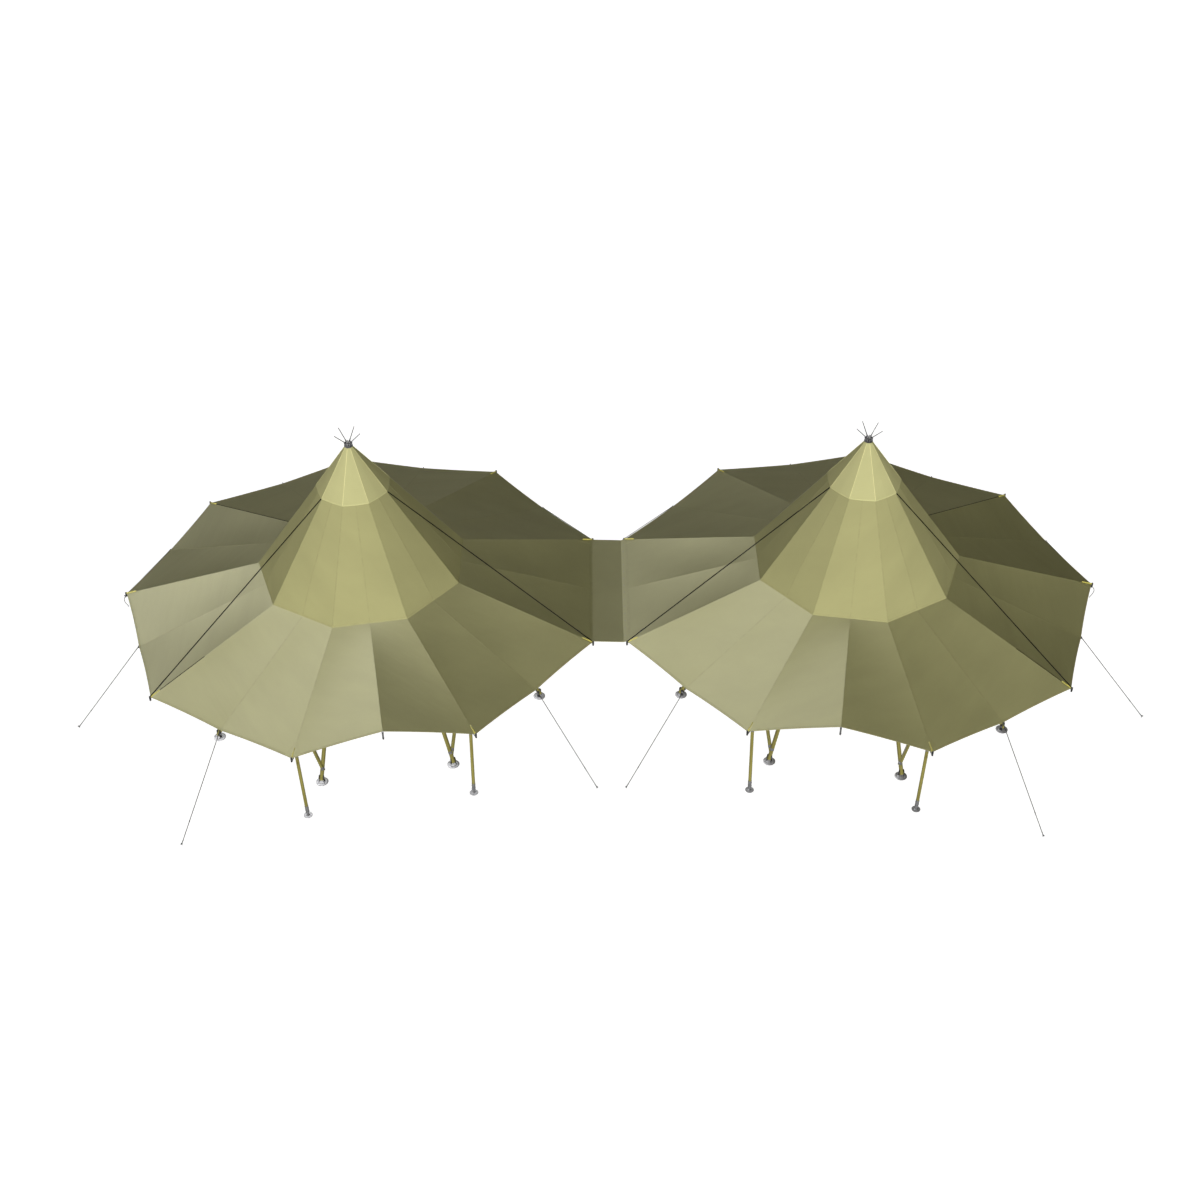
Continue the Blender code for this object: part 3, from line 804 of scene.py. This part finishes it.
def add_main_foot(form, matrix):
    """A round plate with a raised centre, and a fork whose pin holds the pole."""
    foot = matrix @ Matrix.Translation((MAIN_FOOT_R, 0, 0))
    rim = MAIN_PLATE_RADIUS
    stages = [
        (0.0003, rim - 0.003), (0.003, rim), (0.008, rim), (0.0105, rim - 0.002),
        (0.012, rim - 0.006), (0.012, 0.078), (0.0145, 0.075), (0.0175, 0.070), (0.018, 0.066),
    ]
    add_turned(form, foot, stages, 48)
    for side in (-1, 1):
        y = side * (MAIN_POLE_RADIUS + CHEEK_THICKNESS / 2 - 0.0005)
        upright = Matrix.Translation((0, y, 0)) @ Matrix.Rotation(math.pi / 2, 4, "X")
        outline = [(-CHEEK_WIDTH / 2 - 0.012, 0.014), (CHEEK_WIDTH / 2 + 0.012, 0.014)]
        centre_z = CHEEK_HEIGHT - CHEEK_WIDTH / 2
        outline.append((CHEEK_WIDTH / 2, 0.045))
        for i in range(13):
            angle = math.pi * i / 12
            x, z = CHEEK_WIDTH / 2 * math.cos(angle), CHEEK_WIDTH / 2 * math.sin(angle)
            outline.append((x, centre_z + z))
        outline.append((-CHEEK_WIDTH / 2, 0.045))
        add_plate(form, outline, CHEEK_THICKNESS, foot @ upright, finish=1)
    reach = Vector((0, MAIN_POLE_RADIUS + CHEEK_THICKNESS + 0.001, 0))
    pin = matrix @ main_pole_point(MAIN_PIN_Z)
    across = matrix.to_3x3() @ reach
    add_bolt(form, pin - across, pin + across, 0.009)
    for i in range(4):
        centre = polar(0.106, math.pi / 4 + i * math.pi / 2, 0)
        spot = foot @ Matrix.Translation(centre)
        add_turned(form, spot, [(0.011, 0.015), (0.0135, 0.015), (0.0145, 0.013)], 20)
        add_turned(form, spot, [(0.0140, 0.0085), (0.020, 0.0085), (0.022, 0.007)], 6, finish=1)


def add_pole_socket(form, matrix):
    """The steel socket under the head plate that holds the top of a main pole."""
    low, high = main_pole_point(5.42), main_pole_point(5.655)
    socket = matrix @ axis_matrix(low, high)
    length = (high - low).length
    radius = MAIN_POLE_RADIUS + 0.003
    stages = [(0, radius - 0.001), (0.003, radius + 0.001), (length, radius + 0.001), (length, 0.02)]
    add_turned(form, socket, stages, 24)
    middle = (low + high) / 2
    across = Vector((0, radius + 0.002, 0))
    turned = matrix.to_3x3()
    add_bolt(form, turned @ (middle - across), turned @ (middle + across), 0.006)


def add_brace_fittings(form, brace, matrix, from_foot):
    """A strap round the pole that a brace leans on, a ferrule at each end of the brace and, where
    it starts at its own pole's low end, a strap round both."""
    start, end, step, target, axis = brace
    along = (end - start).normalized()
    ring = BRACE_RADIUS + 0.0022
    low = matrix @ axis_matrix(start + along * (0.10 if from_foot else 0.0), end)
    add_turned(form, low, [(0.002, ring - 0.001), (0.004, ring), (0.060, ring), (0.063, ring - 0.001)])
    high = matrix @ axis_matrix(end - along * 0.14, end)
    add_turned(form, high, [(0, ring - 0.001), (0.003, ring), (0.12, ring), (0.123, ring - 0.001)])
    collar = matrix @ axis_matrix(target - axis * 0.055, target + axis * 0.055)
    wide = MAIN_POLE_RADIUS + 0.0025
    add_turned(form, collar, [(0, wide - 0.001), (0.002, wide), (0.108, wide), (0.110, wide - 0.001)])
    side = along.cross(axis).normalized() * (BRACE_RADIUS + 0.004)
    turned = matrix.to_3x3()
    spot = end - along * 0.05
    add_bolt(form, turned @ (spot - side), turned @ (spot + side), 0.006)
    if from_foot:
        band = matrix @ axis_matrix(main_pole_point(FOOT_BRACE_LOW_Z + 0.035), main_pole_point(1))
        add_turned(form, band, [(0, wide - 0.001), (0.002, wide), (0.058, wide), (0.060, wide - 0.001)])


def make_side_poles(prefix, place):
    timbers, steel, arms, tips, straps = Form(), Form(), Form(), Form(), Form()
    for corner in CORNERS:
        matrix = turn(corner_angle(corner))
        add_corner_clamp(steel, arms, tips, matrix)
        if corner in STRAP_CORNERS:
            add_storm_strap(straps, matrix)
        else:
            add_timber(timbers, side_pole_point(0.24), side_pole_point(SIDE_TOP_Z - 0.004),
                       SIDE_POLE_RADIUS - 0.0005, corner * 3.1 + 50, matrix)
            add_side_foot(steel, matrix)
            add_side_pole_head(steel, matrix)
    add_hanging_hook(steel, turn(corner_angle(OUTER_CORNER)))
    # Black strips on the ridges of two corners: painted shadow.
    for corner, length in RIDGE_SHADOW_STRIPS.items():
        add_ridge_shadow_strip(straps, turn(corner_angle(corner)), length)
    nodes = [f"{prefix}_side_pole_{corner}" for corner in POLE_CORNERS]
    strap_nodes = [f"{prefix}_storm_strap_{corner}" for corner in STRAP_CORNERS]
    make_piece(f"{prefix}_side_timbers", timbers, place, [WOOD], nodes)
    make_piece(f"{prefix}_side_feet", steel, place, [STEEL, DARK_STEEL, GREY_STEEL], nodes)
    make_piece(f"{prefix}_corner_arms", arms, place, [YELLOW], nodes + strap_nodes)
    make_piece(f"{prefix}_corner_tips", tips, place, [BLACK], nodes + strap_nodes)
    make_piece(f"{prefix}_straps", straps, place, [WEBBING, DARK_STEEL], strap_nodes)


def add_side_foot(form, matrix):
    """Foot plate, neck and the sleeve that the side pole stands in."""
    foot = matrix @ axis_matrix(side_pole_point(0), side_pole_point(1))
    flat = matrix @ Matrix.Translation((SIDE_FOOT_R, 0, 0))
    rim = SIDE_PLATE_RADIUS
    stages = [
        (0.0003, rim - 0.003), (0.003, rim), (0.007, rim), (0.010, rim - 0.004),
        (0.0105, 0.040), (0.014, 0.036), (0.018, 0.0245), (0.030, 0.0235),
    ]
    add_turned(form, flat, stages, 40)
    sleeve = [
        (0.020, 0.0230), (0.080, 0.0230), (0.084, 0.030), (0.090, 0.0375), (0.098, 0.0390),
        (0.290, 0.0390), (0.297, 0.0390), (0.302, 0.0375), (0.304, SIDE_POLE_RADIUS),
    ]
    add_turned(form, foot, sleeve, 32)
    for z in (0.150, 0.245):
        centre = side_pole_point(z)
        across = Vector((0, 0.0385, 0))
        turned = matrix.to_3x3()
        add_bolt(form, turned @ (centre - across), turned @ (centre + across), 0.005)
    for i in range(3):
        spot = flat @ Matrix.Translation(polar(0.066, math.pi / 6 + i * 2 * math.pi / 3, 0))
        add_turned(form, spot, [(0.009, 0.0075), (0.014, 0.0075), (0.0155, 0.006)], 6, finish=1)


def add_side_pole_head(form, matrix):
    """A ferrule on the top of the side pole, and the arm that carries the clamp."""
    low, high = side_pole_point(SIDE_TOP_Z - 0.125), side_pole_point(SIDE_TOP_Z)
    ferrule = matrix @ axis_matrix(low, high)
    length = (high - low).length
    ring = SIDE_POLE_RADIUS
    stages = [(0, ring - 0.0003), (0.002, ring), (length - 0.003, ring), (length, ring - 0.004)]
    add_turned(form, ferrule, stages, 28)
    arm_start = Vector((SIDE_TOP_R, 0, SIDE_TOP_Z - 0.020))
    arm_end = Vector((CLAMP_MIDDLE_R, 0, CLAMP_LOW_Z + 0.016))
    path = [matrix @ arm_start.lerp(arm_end, i / 6) for i in range(7)]
    add_sweep(form, path, 0.0130, 16)


def add_corner_clamp(steel, arms, tips, matrix):
    """A head past the hem, an arm on the ridge above the canvas and a jaw under it."""
    low = (CLAMP_INNER_R, -CLAMP_HALF_WIDTH, CLAMP_LOW_Z)
    add_block(tips, low, (CLAMP_OUTER_R, CLAMP_HALF_WIDTH, CLAMP_HIGH_Z), 0.005, matrix)
    middle = Vector((CLAMP_OUTER_R - 0.002, 0, (CLAMP_LOW_Z + CLAMP_HIGH_Z) / 2))
    knob = matrix @ axis_matrix(middle, middle + Vector((1, 0, 0)))
    add_turned(steel, knob, [(0, 0.0105), (0.006, 0.0105), (0.0075, 0.009)], 6)
    rise = math.hypot(1, SKIRT_SLOPE)
    r = ARM_RADIUS
    for form, inner_r, offset in (
        (arms, ARM_INNER_R, (r + 0.0006) * rise),
        (steel, JAW_INNER_R, -0.0065 - (r + 0.0006) * rise),
    ):
        outer = Vector((CLAMP_MIDDLE_R, 0, skirt_ridge_z(CLAMP_MIDDLE_R) + offset))
        inner = Vector((inner_r, 0, skirt_ridge_z(inner_r) + offset))
        bar = matrix @ axis_matrix(outer, inner)
        reach = (inner - outer).length
        stages = [(0, r - 0.002), (0.004, r), (reach - 0.010, r)]
        stages += [(reach - 0.003, r - 0.003), (reach, r - 0.007)]
        add_turned(form, bar, stages, 20)


def add_hanging_hook(form, matrix):
    """A thin bent bar that hangs from the clamp at the outermost corner."""
    path = []
    for i in range(19):
        share = i / 18
        out = 0.065 * math.sin(math.pi * min(1.0, share * 1.1) ** 0.8)
        path.append(matrix @ Vector((CLAMP_OUTER_R - 0.006 + out, 0, CLAMP_LOW_Z + 0.010 - 0.320 * share)))
    add_sweep(form, path, 0.0075, 12, finish=2)


def add_web(form, matrix, start, end, half_width, half_depth, finish=0):
    """A length of flat webbing in the local xz plane, with its edges a little thicker."""
    along = (end - start).normalized()
    up = Vector((-along.z, 0, along.x))
    length = (end - start).length
    outline = [(-1, -1), (-0.88, -1.15), (0.88, -1.15), (1, -1), (1, 1), (0.88, 1.15), (-0.88, 1.15), (-1, 1)]
    count = max(2, round(length / 0.25))
    rings, grain = [], []
    for i in range(count + 1):
        centre = start.lerp(end, i / count)
        ring = [centre + Vector((0, a * half_width, 0)) + up * b * half_depth for a, b in outline]
        rings.append([matrix @ p for p in ring])
        grain.append([Vector((0, a * half_width, length * i / count)) for a, b in outline])
    form.add_rings(rings, grain=grain, finish=finish)


def add_storm_strap(form, matrix):
    """Webbing from the rim of the cap to the corner, with a sewn loop above and a tensioning
    buckle below."""
    top = Vector((CAP_R + 0.010, 0, roof_z(CAP_R) + 0.016))
    bottom = Vector((CLAMP_MIDDLE_R - 0.008, 0, 2.019))
    along = (bottom - top).normalized()
    up = Vector((-along.z, 0, along.x))
    length = (bottom - top).length

    def place(distance, raised):
        return top + along * distance + up * raised

    add_web(form, matrix, top, bottom, 0.0145, 0.0016)
    add_web(form, matrix, place(0.02, 0.0032), place(0.20, 0.0032), 0.0120, 0.0013)
    add_web(form, matrix, place(length - 0.50, 0.0036), place(length - 0.28, 0.0036), 0.0120, 0.0013)
    for back in (0.46, 0.36):
        low, high = place(length - back, 0.0062), place(length - back + 0.010, 0.0062)
        add_web(form, matrix, low, high, 0.0150, 0.0022, finish=1)
    for y in (-0.0140, 0.0140):
        bar = [place(length - 0.46 + 0.11 * i / 4, 0.0072) + Vector((0, y, 0)) for i in range(5)]
        add_sweep(form, [matrix @ p for p in bar], 0.0022, 8, finish=1)


def add_ridge_shadow_strip(form, matrix, length):
    """A thin black strip along the skirt's ridge, from the clamp inwards: a painted shadow, a dark line of
    shade drawn as webbing.
    """
    outer_r = CLAMP_INNER_R - 0.010
    inner_r = max(outer_r - length / math.hypot(1, SKIRT_SLOPE), KNUCKLE_R + 0.03)
    outer = Vector((outer_r, 0, skirt_ridge_z(outer_r) + 0.0040))
    inner = Vector((inner_r, 0, skirt_ridge_z(inner_r) + 0.0040))
    add_web(form, matrix, inner, outer, 0.0080, 0.0014)


# Guy lines

def make_guy_lines(prefix, place):
    ropes, pegs, toggles = Form(), Form(), Form()
    bays = [bay for bay in range(1, SIDES) if 2 * bay - 1 != ENTRANCE_LINE]
    for bay in bays:
        matrix = turn(bay_angle(bay))
        hem = Vector((EAVE_R * CHORD, 0, VALLEY_Z))
        toggle_at = Vector((EAVE_R * CHORD + 0.0133, 0, VALLEY_Z - 0.010))
        peg_top = Vector((PEG_R, 0, LINE_PEG_Z))
        count = 420
        start, end = toggle_at + Vector((0.004, 0, 0)), peg_top + Vector((-0.006, 0, 0))
        path = [matrix @ start.lerp(end, i / count) for i in range(count + 1)]
        add_sweep(ropes, path, LINE_RADIUS, 9, lobes=3, pitch=0.036)
        add_rope_ends(ropes, matrix, start, end, hem)
        add_toggle(toggles, matrix, toggle_at)
        add_slider(toggles, matrix, start, end)
        add_peg(pegs, matrix)
    nodes = [f"{prefix}_guy_line_{bay}" for bay in bays]
    make_piece(f"{prefix}_guy_ropes", ropes, place, [ROPE], nodes)
    make_piece(f"{prefix}_guy_toggles", toggles, place, [BLACK], nodes)
    make_piece(f"{prefix}_pegs", pegs, place, [GREY_STEEL], nodes)


def circle_path(centre, first, second, radius, count=20):
    """Points round a circle in the plane of two unit vectors."""
    path = []
    for i in range(count):
        angle = 2 * math.pi * i / count
        path.append(centre + (first * math.cos(angle) + second * math.sin(angle)) * radius)
    return path


def add_rope_ends(form, matrix, start, end, hem):
    """Turns of rope round the toggle and the peg, and a short lashing below each."""
    x, y = Vector((1, 0, 0)), Vector((0, 1, 0))
    along = (end - start).normalized()
    across = Vector((-along.z, 0, along.x))
    for z in (-0.005, 0.005):
        centre = Vector((PEG_R, 0, end.z + z))
        loop = [matrix @ p for p in circle_path(centre, x, y, 0.0125)]
        add_sweep(form, loop, 0.0042, 8, loop=True)
    for n in range(6):
        for anchor, sign in ((start, 1), (end, -1)):
            centre = anchor + along * sign * (0.035 + 0.009 * n)
            loop = [matrix @ p for p in circle_path(centre, across, y, 0.0065, 14)]
            add_sweep(form, loop, 0.0044, 6, loop=True)


def add_toggle(form, matrix, centre):
    """A waisted toggle outside the hem."""
    stages = [(-0.028, 0.009), (-0.025, 0.0125), (-0.012, 0.0125), (-0.005, 0.0095),
              (0.005, 0.0095), (0.012, 0.0125), (0.025, 0.0125), (0.028, 0.009)]
    add_turned(form, matrix @ Matrix.Translation(centre), stages, 20)


def add_slider(form, matrix, start, end):
    """The runner that shortens the line."""
    middle = start.lerp(end, 0.80)
    along = (end - start).normalized()
    low, high = middle - along * 0.025, middle + along * 0.025
    stages = [(0, 0.0070), (0.002, 0.0095), (0.008, 0.0105), (0.042, 0.0105), (0.048, 0.0095), (0.050, 0.0070)]
    add_turned(form, matrix @ axis_matrix(low, high), stages, 16)


def add_peg(form, matrix):
    """The head of a driven steel peg, bent over in a hook away from the tent."""
    bend = 0.0125
    straight = PEG_HEIGHT - bend - 0.009
    path = [Vector((PEG_R, 0, 0.0002 + straight * i / 4)) for i in range(5)]
    centre = Vector((PEG_R + bend, 0, 0.0002 + straight))
    for i in range(1, 11):
        angle = math.pi - math.pi * i / 10
        path.append(centre + Vector((math.cos(angle), 0, math.sin(angle))) * bend)
    path.append(path[-1] + Vector((0, 0, -0.016)))
    add_sweep(form, [matrix @ p for p in path], 0.0075, 14)


# The crown

def make_crown(prefix, place):
    steel, tubes = Form(), Form()
    upright = Matrix.Identity(4)
    plate_z = MAIN_TOP_Z + 0.0003
    rim = HEAD_PLATE_RADIUS
    stages = [
        (plate_z, rim - 0.004), (plate_z + 0.003, rim), (plate_z + 0.019, rim),
        (plate_z + 0.022, rim - 0.003), (plate_z + 0.022, COLLAR_RADIUS + 0.006),
        (plate_z + 0.028, COLLAR_RADIUS), (5.966, COLLAR_RADIUS),
    ]
    add_turned(steel, upright, stages, 56)
    for corner in CORNERS:
        spot = polar(0.170, corner_angle(corner), plate_z + 0.022)
        add_turned(steel, Matrix.Translation(spot), [(0, 0.019), (0.003, 0.019), (0.003, 0.0125),
                                                     (0.011, 0.0125), (0.013, 0.011)], 6)
    ring_z = roof_z(COLLAR_HOLE_R) + CAP_RISE + 0.004
    bands = [
        (ring_z, 0.086), (ring_z + 0.003, 0.095), (ring_z + 0.010, 0.095), (ring_z + 0.012, 0.0835),
        (ring_z + 0.022, 0.0835), (ring_z + 0.024, 0.052), (ring_z + 0.050, 0.050),
        (ring_z + 0.052, 0.046),
    ]
    add_turned(steel, upright, bands, 56, finish=1)
    for i in range(SIDES):
        lean = turn(corner_angle(i)) @ Matrix.Translation((0.070, 0, ring_z + 0.012))
        tube = lean @ Matrix.Rotation(math.radians(10), 4, "Y")
        stages = [(0, 0.0135), (0.062, 0.0135), (0.064, 0.0125), (0.064, 0.0105), (0.030, 0.0100)]
        add_turned(tubes, tube, stages, 16)
        stages = [(0.014, 0.0140), (0.015, 0.0150), (0.024, 0.0150), (0.025, 0.0140)]
        add_turned(tubes, tube, stages, 16, finish=1)
    for i in range(ROD_COUNT):
        angle = ROD_AZIMUTH + 2 * math.pi * i / ROD_COUNT
        root = polar(0.035, angle, COLLAR_TOP_Z - 0.03)
        tip = polar(ROD_TIP_R, angle, ROD_TIP_Z)
        length = (tip - root).length
        rod = axis_matrix(root, tip)
        stages = [(0, 0.0115), (length * 0.25, 0.0115), (length * 0.27, 0.0095), (length - 0.006, 0.0085),
                  (length, 0.005)]
        add_turned(tubes, rod, stages, 16)
        add_turned(steel, rod, [(0.035, 0.016), (0.037, 0.0175), (0.060, 0.0175), (0.062, 0.016)], 6, finish=1)
    make_piece(f"{prefix}_crown_steel", steel, place, [STEEL, DARK_STEEL], [f"{prefix}_crown"])
    make_piece(f"{prefix}_crown_tubes", tubes, place, [GREY_STEEL, DARK_STEEL], [f"{prefix}_crown"])


def make_entrance_tube(prefix, place):
    """The short steel tube that hangs from the peak of the hem over the entrance."""
    form = Form()
    matrix = turn(line_angle(ENTRANCE_LINE))
    x = ENTRANCE_R + 0.024
    stages = [(2.185, 0.017), (2.188, 0.019), (2.392, 0.019), (2.395, 0.017)]
    add_turned(form, matrix @ Matrix.Translation((x, 0, 0)), stages, 24)
    for z in (2.215, 2.355):
        stages = [(z, 0.0200), (z + 0.002, 0.0215), (z + 0.016, 0.0215), (z + 0.018, 0.0200)]
        add_turned(form, matrix @ Matrix.Translation((x, 0, 0)), stages, 24, finish=1)
    make_piece(f"{prefix}_entrance_tube", form, place, [GREY_STEEL, DARK_STEEL])


# The link

LINK_EDGE = TENT_SPACING / 2 - EAVE_R * CHORD
LINK_HALF_LENGTH = (LINK_HIGH.y - LINK_LOW.y) / 2
LINK_FLAP = 0.04
LINK_CREASE_WIDTH = 0.093
LINK_SLOPE = SKIRT_SLOPE / CHORD
LINK_TOP = EAVE_Z + 0.0126


def link_height(x):
    """Height of the link's upper face: its flaps lie on the skirts, and between them it drops
    gently to a crease near the right tent."""
    crease_x = LINK_EDGE - LINK_CREASE_WIDTH
    drop = LINK_CREASE_WIDTH * LINK_SLOPE
    if x < -LINK_EDGE:
        return LINK_TOP + (-LINK_EDGE - x) * LINK_SLOPE
    if x < crease_x:
        return LINK_TOP - drop * (x + LINK_EDGE) / (crease_x + LINK_EDGE)
    return LINK_TOP + (x - LINK_EDGE) * LINK_SLOPE


def link_reach(x):
    """Half the length of the link at x: the corners of its flaps are cut back."""
    return LINK_HALF_LENGTH - 0.6 * max(0.0, abs(x) - LINK_EDGE)


def link_columns():
    crease_x = LINK_EDGE - LINK_CREASE_WIDTH
    outer = LINK_EDGE + LINK_FLAP - 0.001
    columns = [-outer, -LINK_EDGE]
    columns += [-LINK_EDGE + (crease_x + LINK_EDGE) * i / 10 for i in range(1, 11)]
    return columns + [(crease_x + LINK_EDGE) / 2, LINK_EDGE, outer]


def link_sag(x, share):
    """How far the middle of the link hangs below its ends and edges."""
    across = max(0.0, 1 - (x / LINK_EDGE) ** 2)
    return 0.005 * across * (1 - share * share)


def make_link():
    form = Form()
    columns = link_columns()
    count = 72
    rings, grain = [], []
    for n in range(count + 1):
        share = 2 * n / count - 1
        upper = []
        for x in columns:
            z = link_height(x) - link_sag(x, share)
            upper.append(Vector((x, TENT_Y + share * link_reach(x), z)))
        lower = [point - Vector((0, 0, 0.006)) for point in upper]
        rings.append(upper + lower[::-1])
        marks = [Vector((point.x, share * LINK_HALF_LENGTH, 0)) for point in upper]
        grain.append(marks + marks[::-1])
    form.add_rings(rings, grain=grain)
    world = Matrix.Identity(4)
    cloth = make_piece("link_cloth", form, world, [CANVAS], ["link_canopy"], crease=6)
    make_link_trim(columns)


def add_link_tape(form, low_x, high_x, lift):
    """A tape along the link between two values of x."""
    rings, grain = [], []
    columns = [low_x, (low_x + high_x) / 2, high_x]
    for n in range(61):
        share = (2 * n / 60 - 1) * 0.985
        top = []
        for x in columns:
            z = link_height(x) - link_sag(x, share) + lift
            top.append(Vector((x, TENT_Y + share * link_reach(x), z)))
        under = [point - Vector((0, 0, lift + 0.002)) for point in top]
        rings.append(top + under[::-1])
        marks = [Vector((point.x, share * LINK_HALF_LENGTH, 0)) for point in top]
        grain.append(marks + marks[::-1])
    form.add_rings(rings, grain=grain)


def make_link_trim(columns):
    """Hems across both ends, tapes along the two joints, and eyelets along the crease."""
    form = Form()
    world = Matrix.Identity(4)
    for side in (-1, 1):
        rings, grain = [], []
        for x in columns:
            z = link_height(x)
            outer = TENT_Y + side * (link_reach(x) + 0.001)
            inner = TENT_Y + side * (link_reach(x) - 0.050)
            rings.append([Vector((x, inner, z + 0.0015)), Vector((x, outer, z + 0.0015)),
                          Vector((x, outer, z - 0.0075)), Vector((x, inner, z - 0.0075))])
            grain.append([Vector((a, x, 0)) for a in (0, 0.05, 0.06, 0.11)])
        form.add_rings(rings, grain=grain)
    add_link_tape(form, columns[0] + 0.002, columns[0] + 0.062, 0.0016)
    add_link_tape(form, columns[-1] - 0.034, columns[-1] - 0.002, 0.0016)
    tapes = make_piece("link_tapes", form, world, [SEAM])
    eyelets = Form()
    x = LINK_EDGE - LINK_CREASE_WIDTH / 2
    slope = Vector((1, 0, LINK_SLOPE)).normalized()
    count = 14
    for n in range(count):
        share = (2 * (n + 0.5) / count - 1) * 0.96
        z = link_height(x) - link_sag(x, share) + 0.0004
        centre = Vector((x, TENT_Y + share * link_reach(x), z))
        loop = circle_path(centre, slope, Vector((0, 1, 0)), 0.010, 20)
        add_sweep(eyelets, loop, 0.0024, 8, loop=True)
    rings = make_piece("link_eyelets", eyelets, world, [STEEL])
    return [tapes, rings]


# Camera, lights and floor

CAMERA_PLACE = Vector((-0.223, TENT_Y - 28.951, 25.158))
CAMERA_YAW, CAMERA_PITCH, CAMERA_ROLL = 0.00036, 0.68161, -0.00944
LENS_MM, SENSOR_MM = 48.51, 36.0
BACKDROP_RADIUS = 400.0


def make_camera():
    look = Vector(
        (
            math.sin(CAMERA_YAW) * math.cos(CAMERA_PITCH),
            math.cos(CAMERA_YAW) * math.cos(CAMERA_PITCH),
            -math.sin(CAMERA_PITCH),
        )
    )
    level = Vector((math.cos(CAMERA_YAW), -math.sin(CAMERA_YAW), 0))
    above = level.cross(look)
    right = level * math.cos(CAMERA_ROLL) + above * math.sin(CAMERA_ROLL)
    up = above * math.cos(CAMERA_ROLL) - level * math.sin(CAMERA_ROLL)
    data = bpy.data.cameras.new("camera")
    data.lens = LENS_MM
    data.sensor_width = SENSOR_MM
    data.clip_end = 1000
    camera = bpy.data.objects.new("camera", data)
    bpy.context.scene.collection.objects.link(camera)
    rows = [(right[i], up[i], -look[i], CAMERA_PLACE[i]) for i in range(3)]
    camera.matrix_world = Matrix((*rows, (0, 0, 0, 1)))
    bpy.context.scene.camera = camera


def make_sun(name, azimuth, elevation, strength, spread, diffuse=True, glossy=True):
    data = bpy.data.lights.new(name, "SUN")
    data.energy = strength
    data.angle = math.radians(spread)
    data.use_shadow = False
    lamp = bpy.data.objects.new(name, data)
    bpy.context.scene.collection.objects.link(lamp)
    towards = polar(math.cos(math.radians(elevation)), math.radians(azimuth), 0)
    towards.z = math.sin(math.radians(elevation))
    lamp.rotation_mode = "QUATERNION"
    lamp.rotation_quaternion = towards.to_track_quat("Z", "Y")
    lamp.visible_diffuse = diffuse
    lamp.visible_glossy = glossy


def make_backdrop():
    """A pale floor that rises in a wide dome behind everything."""
    mesh = bpy.data.meshes.new("backdrop")
    rings = [[Vector((0, 0, -0.001))] * 64]
    rings.append([polar(BACKDROP_RADIUS, 2 * math.pi * i / 64, -0.001) for i in range(64)])
    for level in range(1, 13):
        lift = math.pi / 2 * level / 12
        radius, z = BACKDROP_RADIUS * math.cos(lift), BACKDROP_RADIUS * math.sin(lift)
        rings.append([polar(radius, 2 * math.pi * i / 64, z) for i in range(64)])
    points = [point for ring in rings for point in ring]
    faces = []
    for level in range(len(rings) - 1):
        for i in range(64):
            j = (i + 1) % 64
            low, high = level * 64, (level + 1) * 64
            faces.append((low + i, low + j, high + j, high + i))
    mesh.from_pydata(points, [], faces)
    mesh.validate()
    backdrop = bpy.data.objects.new("backdrop", mesh)
    bpy.context.scene.collection.objects.link(backdrop)
    material = bpy.data.materials.new("backdrop")
    material.use_nodes = True
    shader = material.node_tree.nodes["Principled BSDF"]
    shader.inputs["Base Color"].default_value = (0.30, 0.30, 0.30, 1)
    shader.inputs["Roughness"].default_value = 0.9
    shader.inputs["Specular IOR Level"].default_value = 0.0
    shader.inputs["Emission Color"].default_value = (1, 1, 1, 1)
    shader.inputs["Emission Strength"].default_value = 1.0
    mesh.materials.append(material)
    backdrop.visible_diffuse = False
    backdrop.visible_glossy = False
    backdrop.visible_shadow = False


def make_world():
    world = bpy.data.worlds.new("studio")
    world.use_nodes = True
    tree = world.node_tree
    backdrop = tree.nodes["Background"]
    backdrop.inputs["Color"].default_value = (1.0, 0.975, 0.72, 1)
    backdrop.inputs["Strength"].default_value = 0.150
    bpy.context.scene.world = world


make_camera()
make_world()
make_backdrop()
for AZIMUTH, STRENGTH in ((245, 2.2), (267, 0.45), (289, 2.45)):
    make_sun(f"front_light_{AZIMUTH}", AZIMUTH, 3, STRENGTH, 20, glossy=False)
make_sun("rear_light", 90, 3, 0.40, 20, glossy=False)
for AZIMUTH, ELEVATION, STRENGTH in ((110, 60, 2.0), (124, 48, 1.5), (140, 35, 1.0), (150, 50, 1.2)):
    make_sun(f"gloss_light_{AZIMUTH}", AZIMUTH, ELEVATION, STRENGTH, 14, diffuse=False)
bpy.context.scene.view_settings.view_transform = "Standard"

for SIDE, PREFIX in ((-1, "left"), (1, "right")):
    PLACE = tent_matrix(SIDE)
    make_skirt(PREFIX, PLACE)
    make_cone(PREFIX, PLACE)
    make_cap(PREFIX, PLACE)
    make_crown(PREFIX, PLACE)
    make_main_poles(PREFIX, PLACE)
    make_side_poles(PREFIX, PLACE)
    make_guy_lines(PREFIX, PLACE)
    make_entrance_tube(PREFIX, PLACE)
make_link()
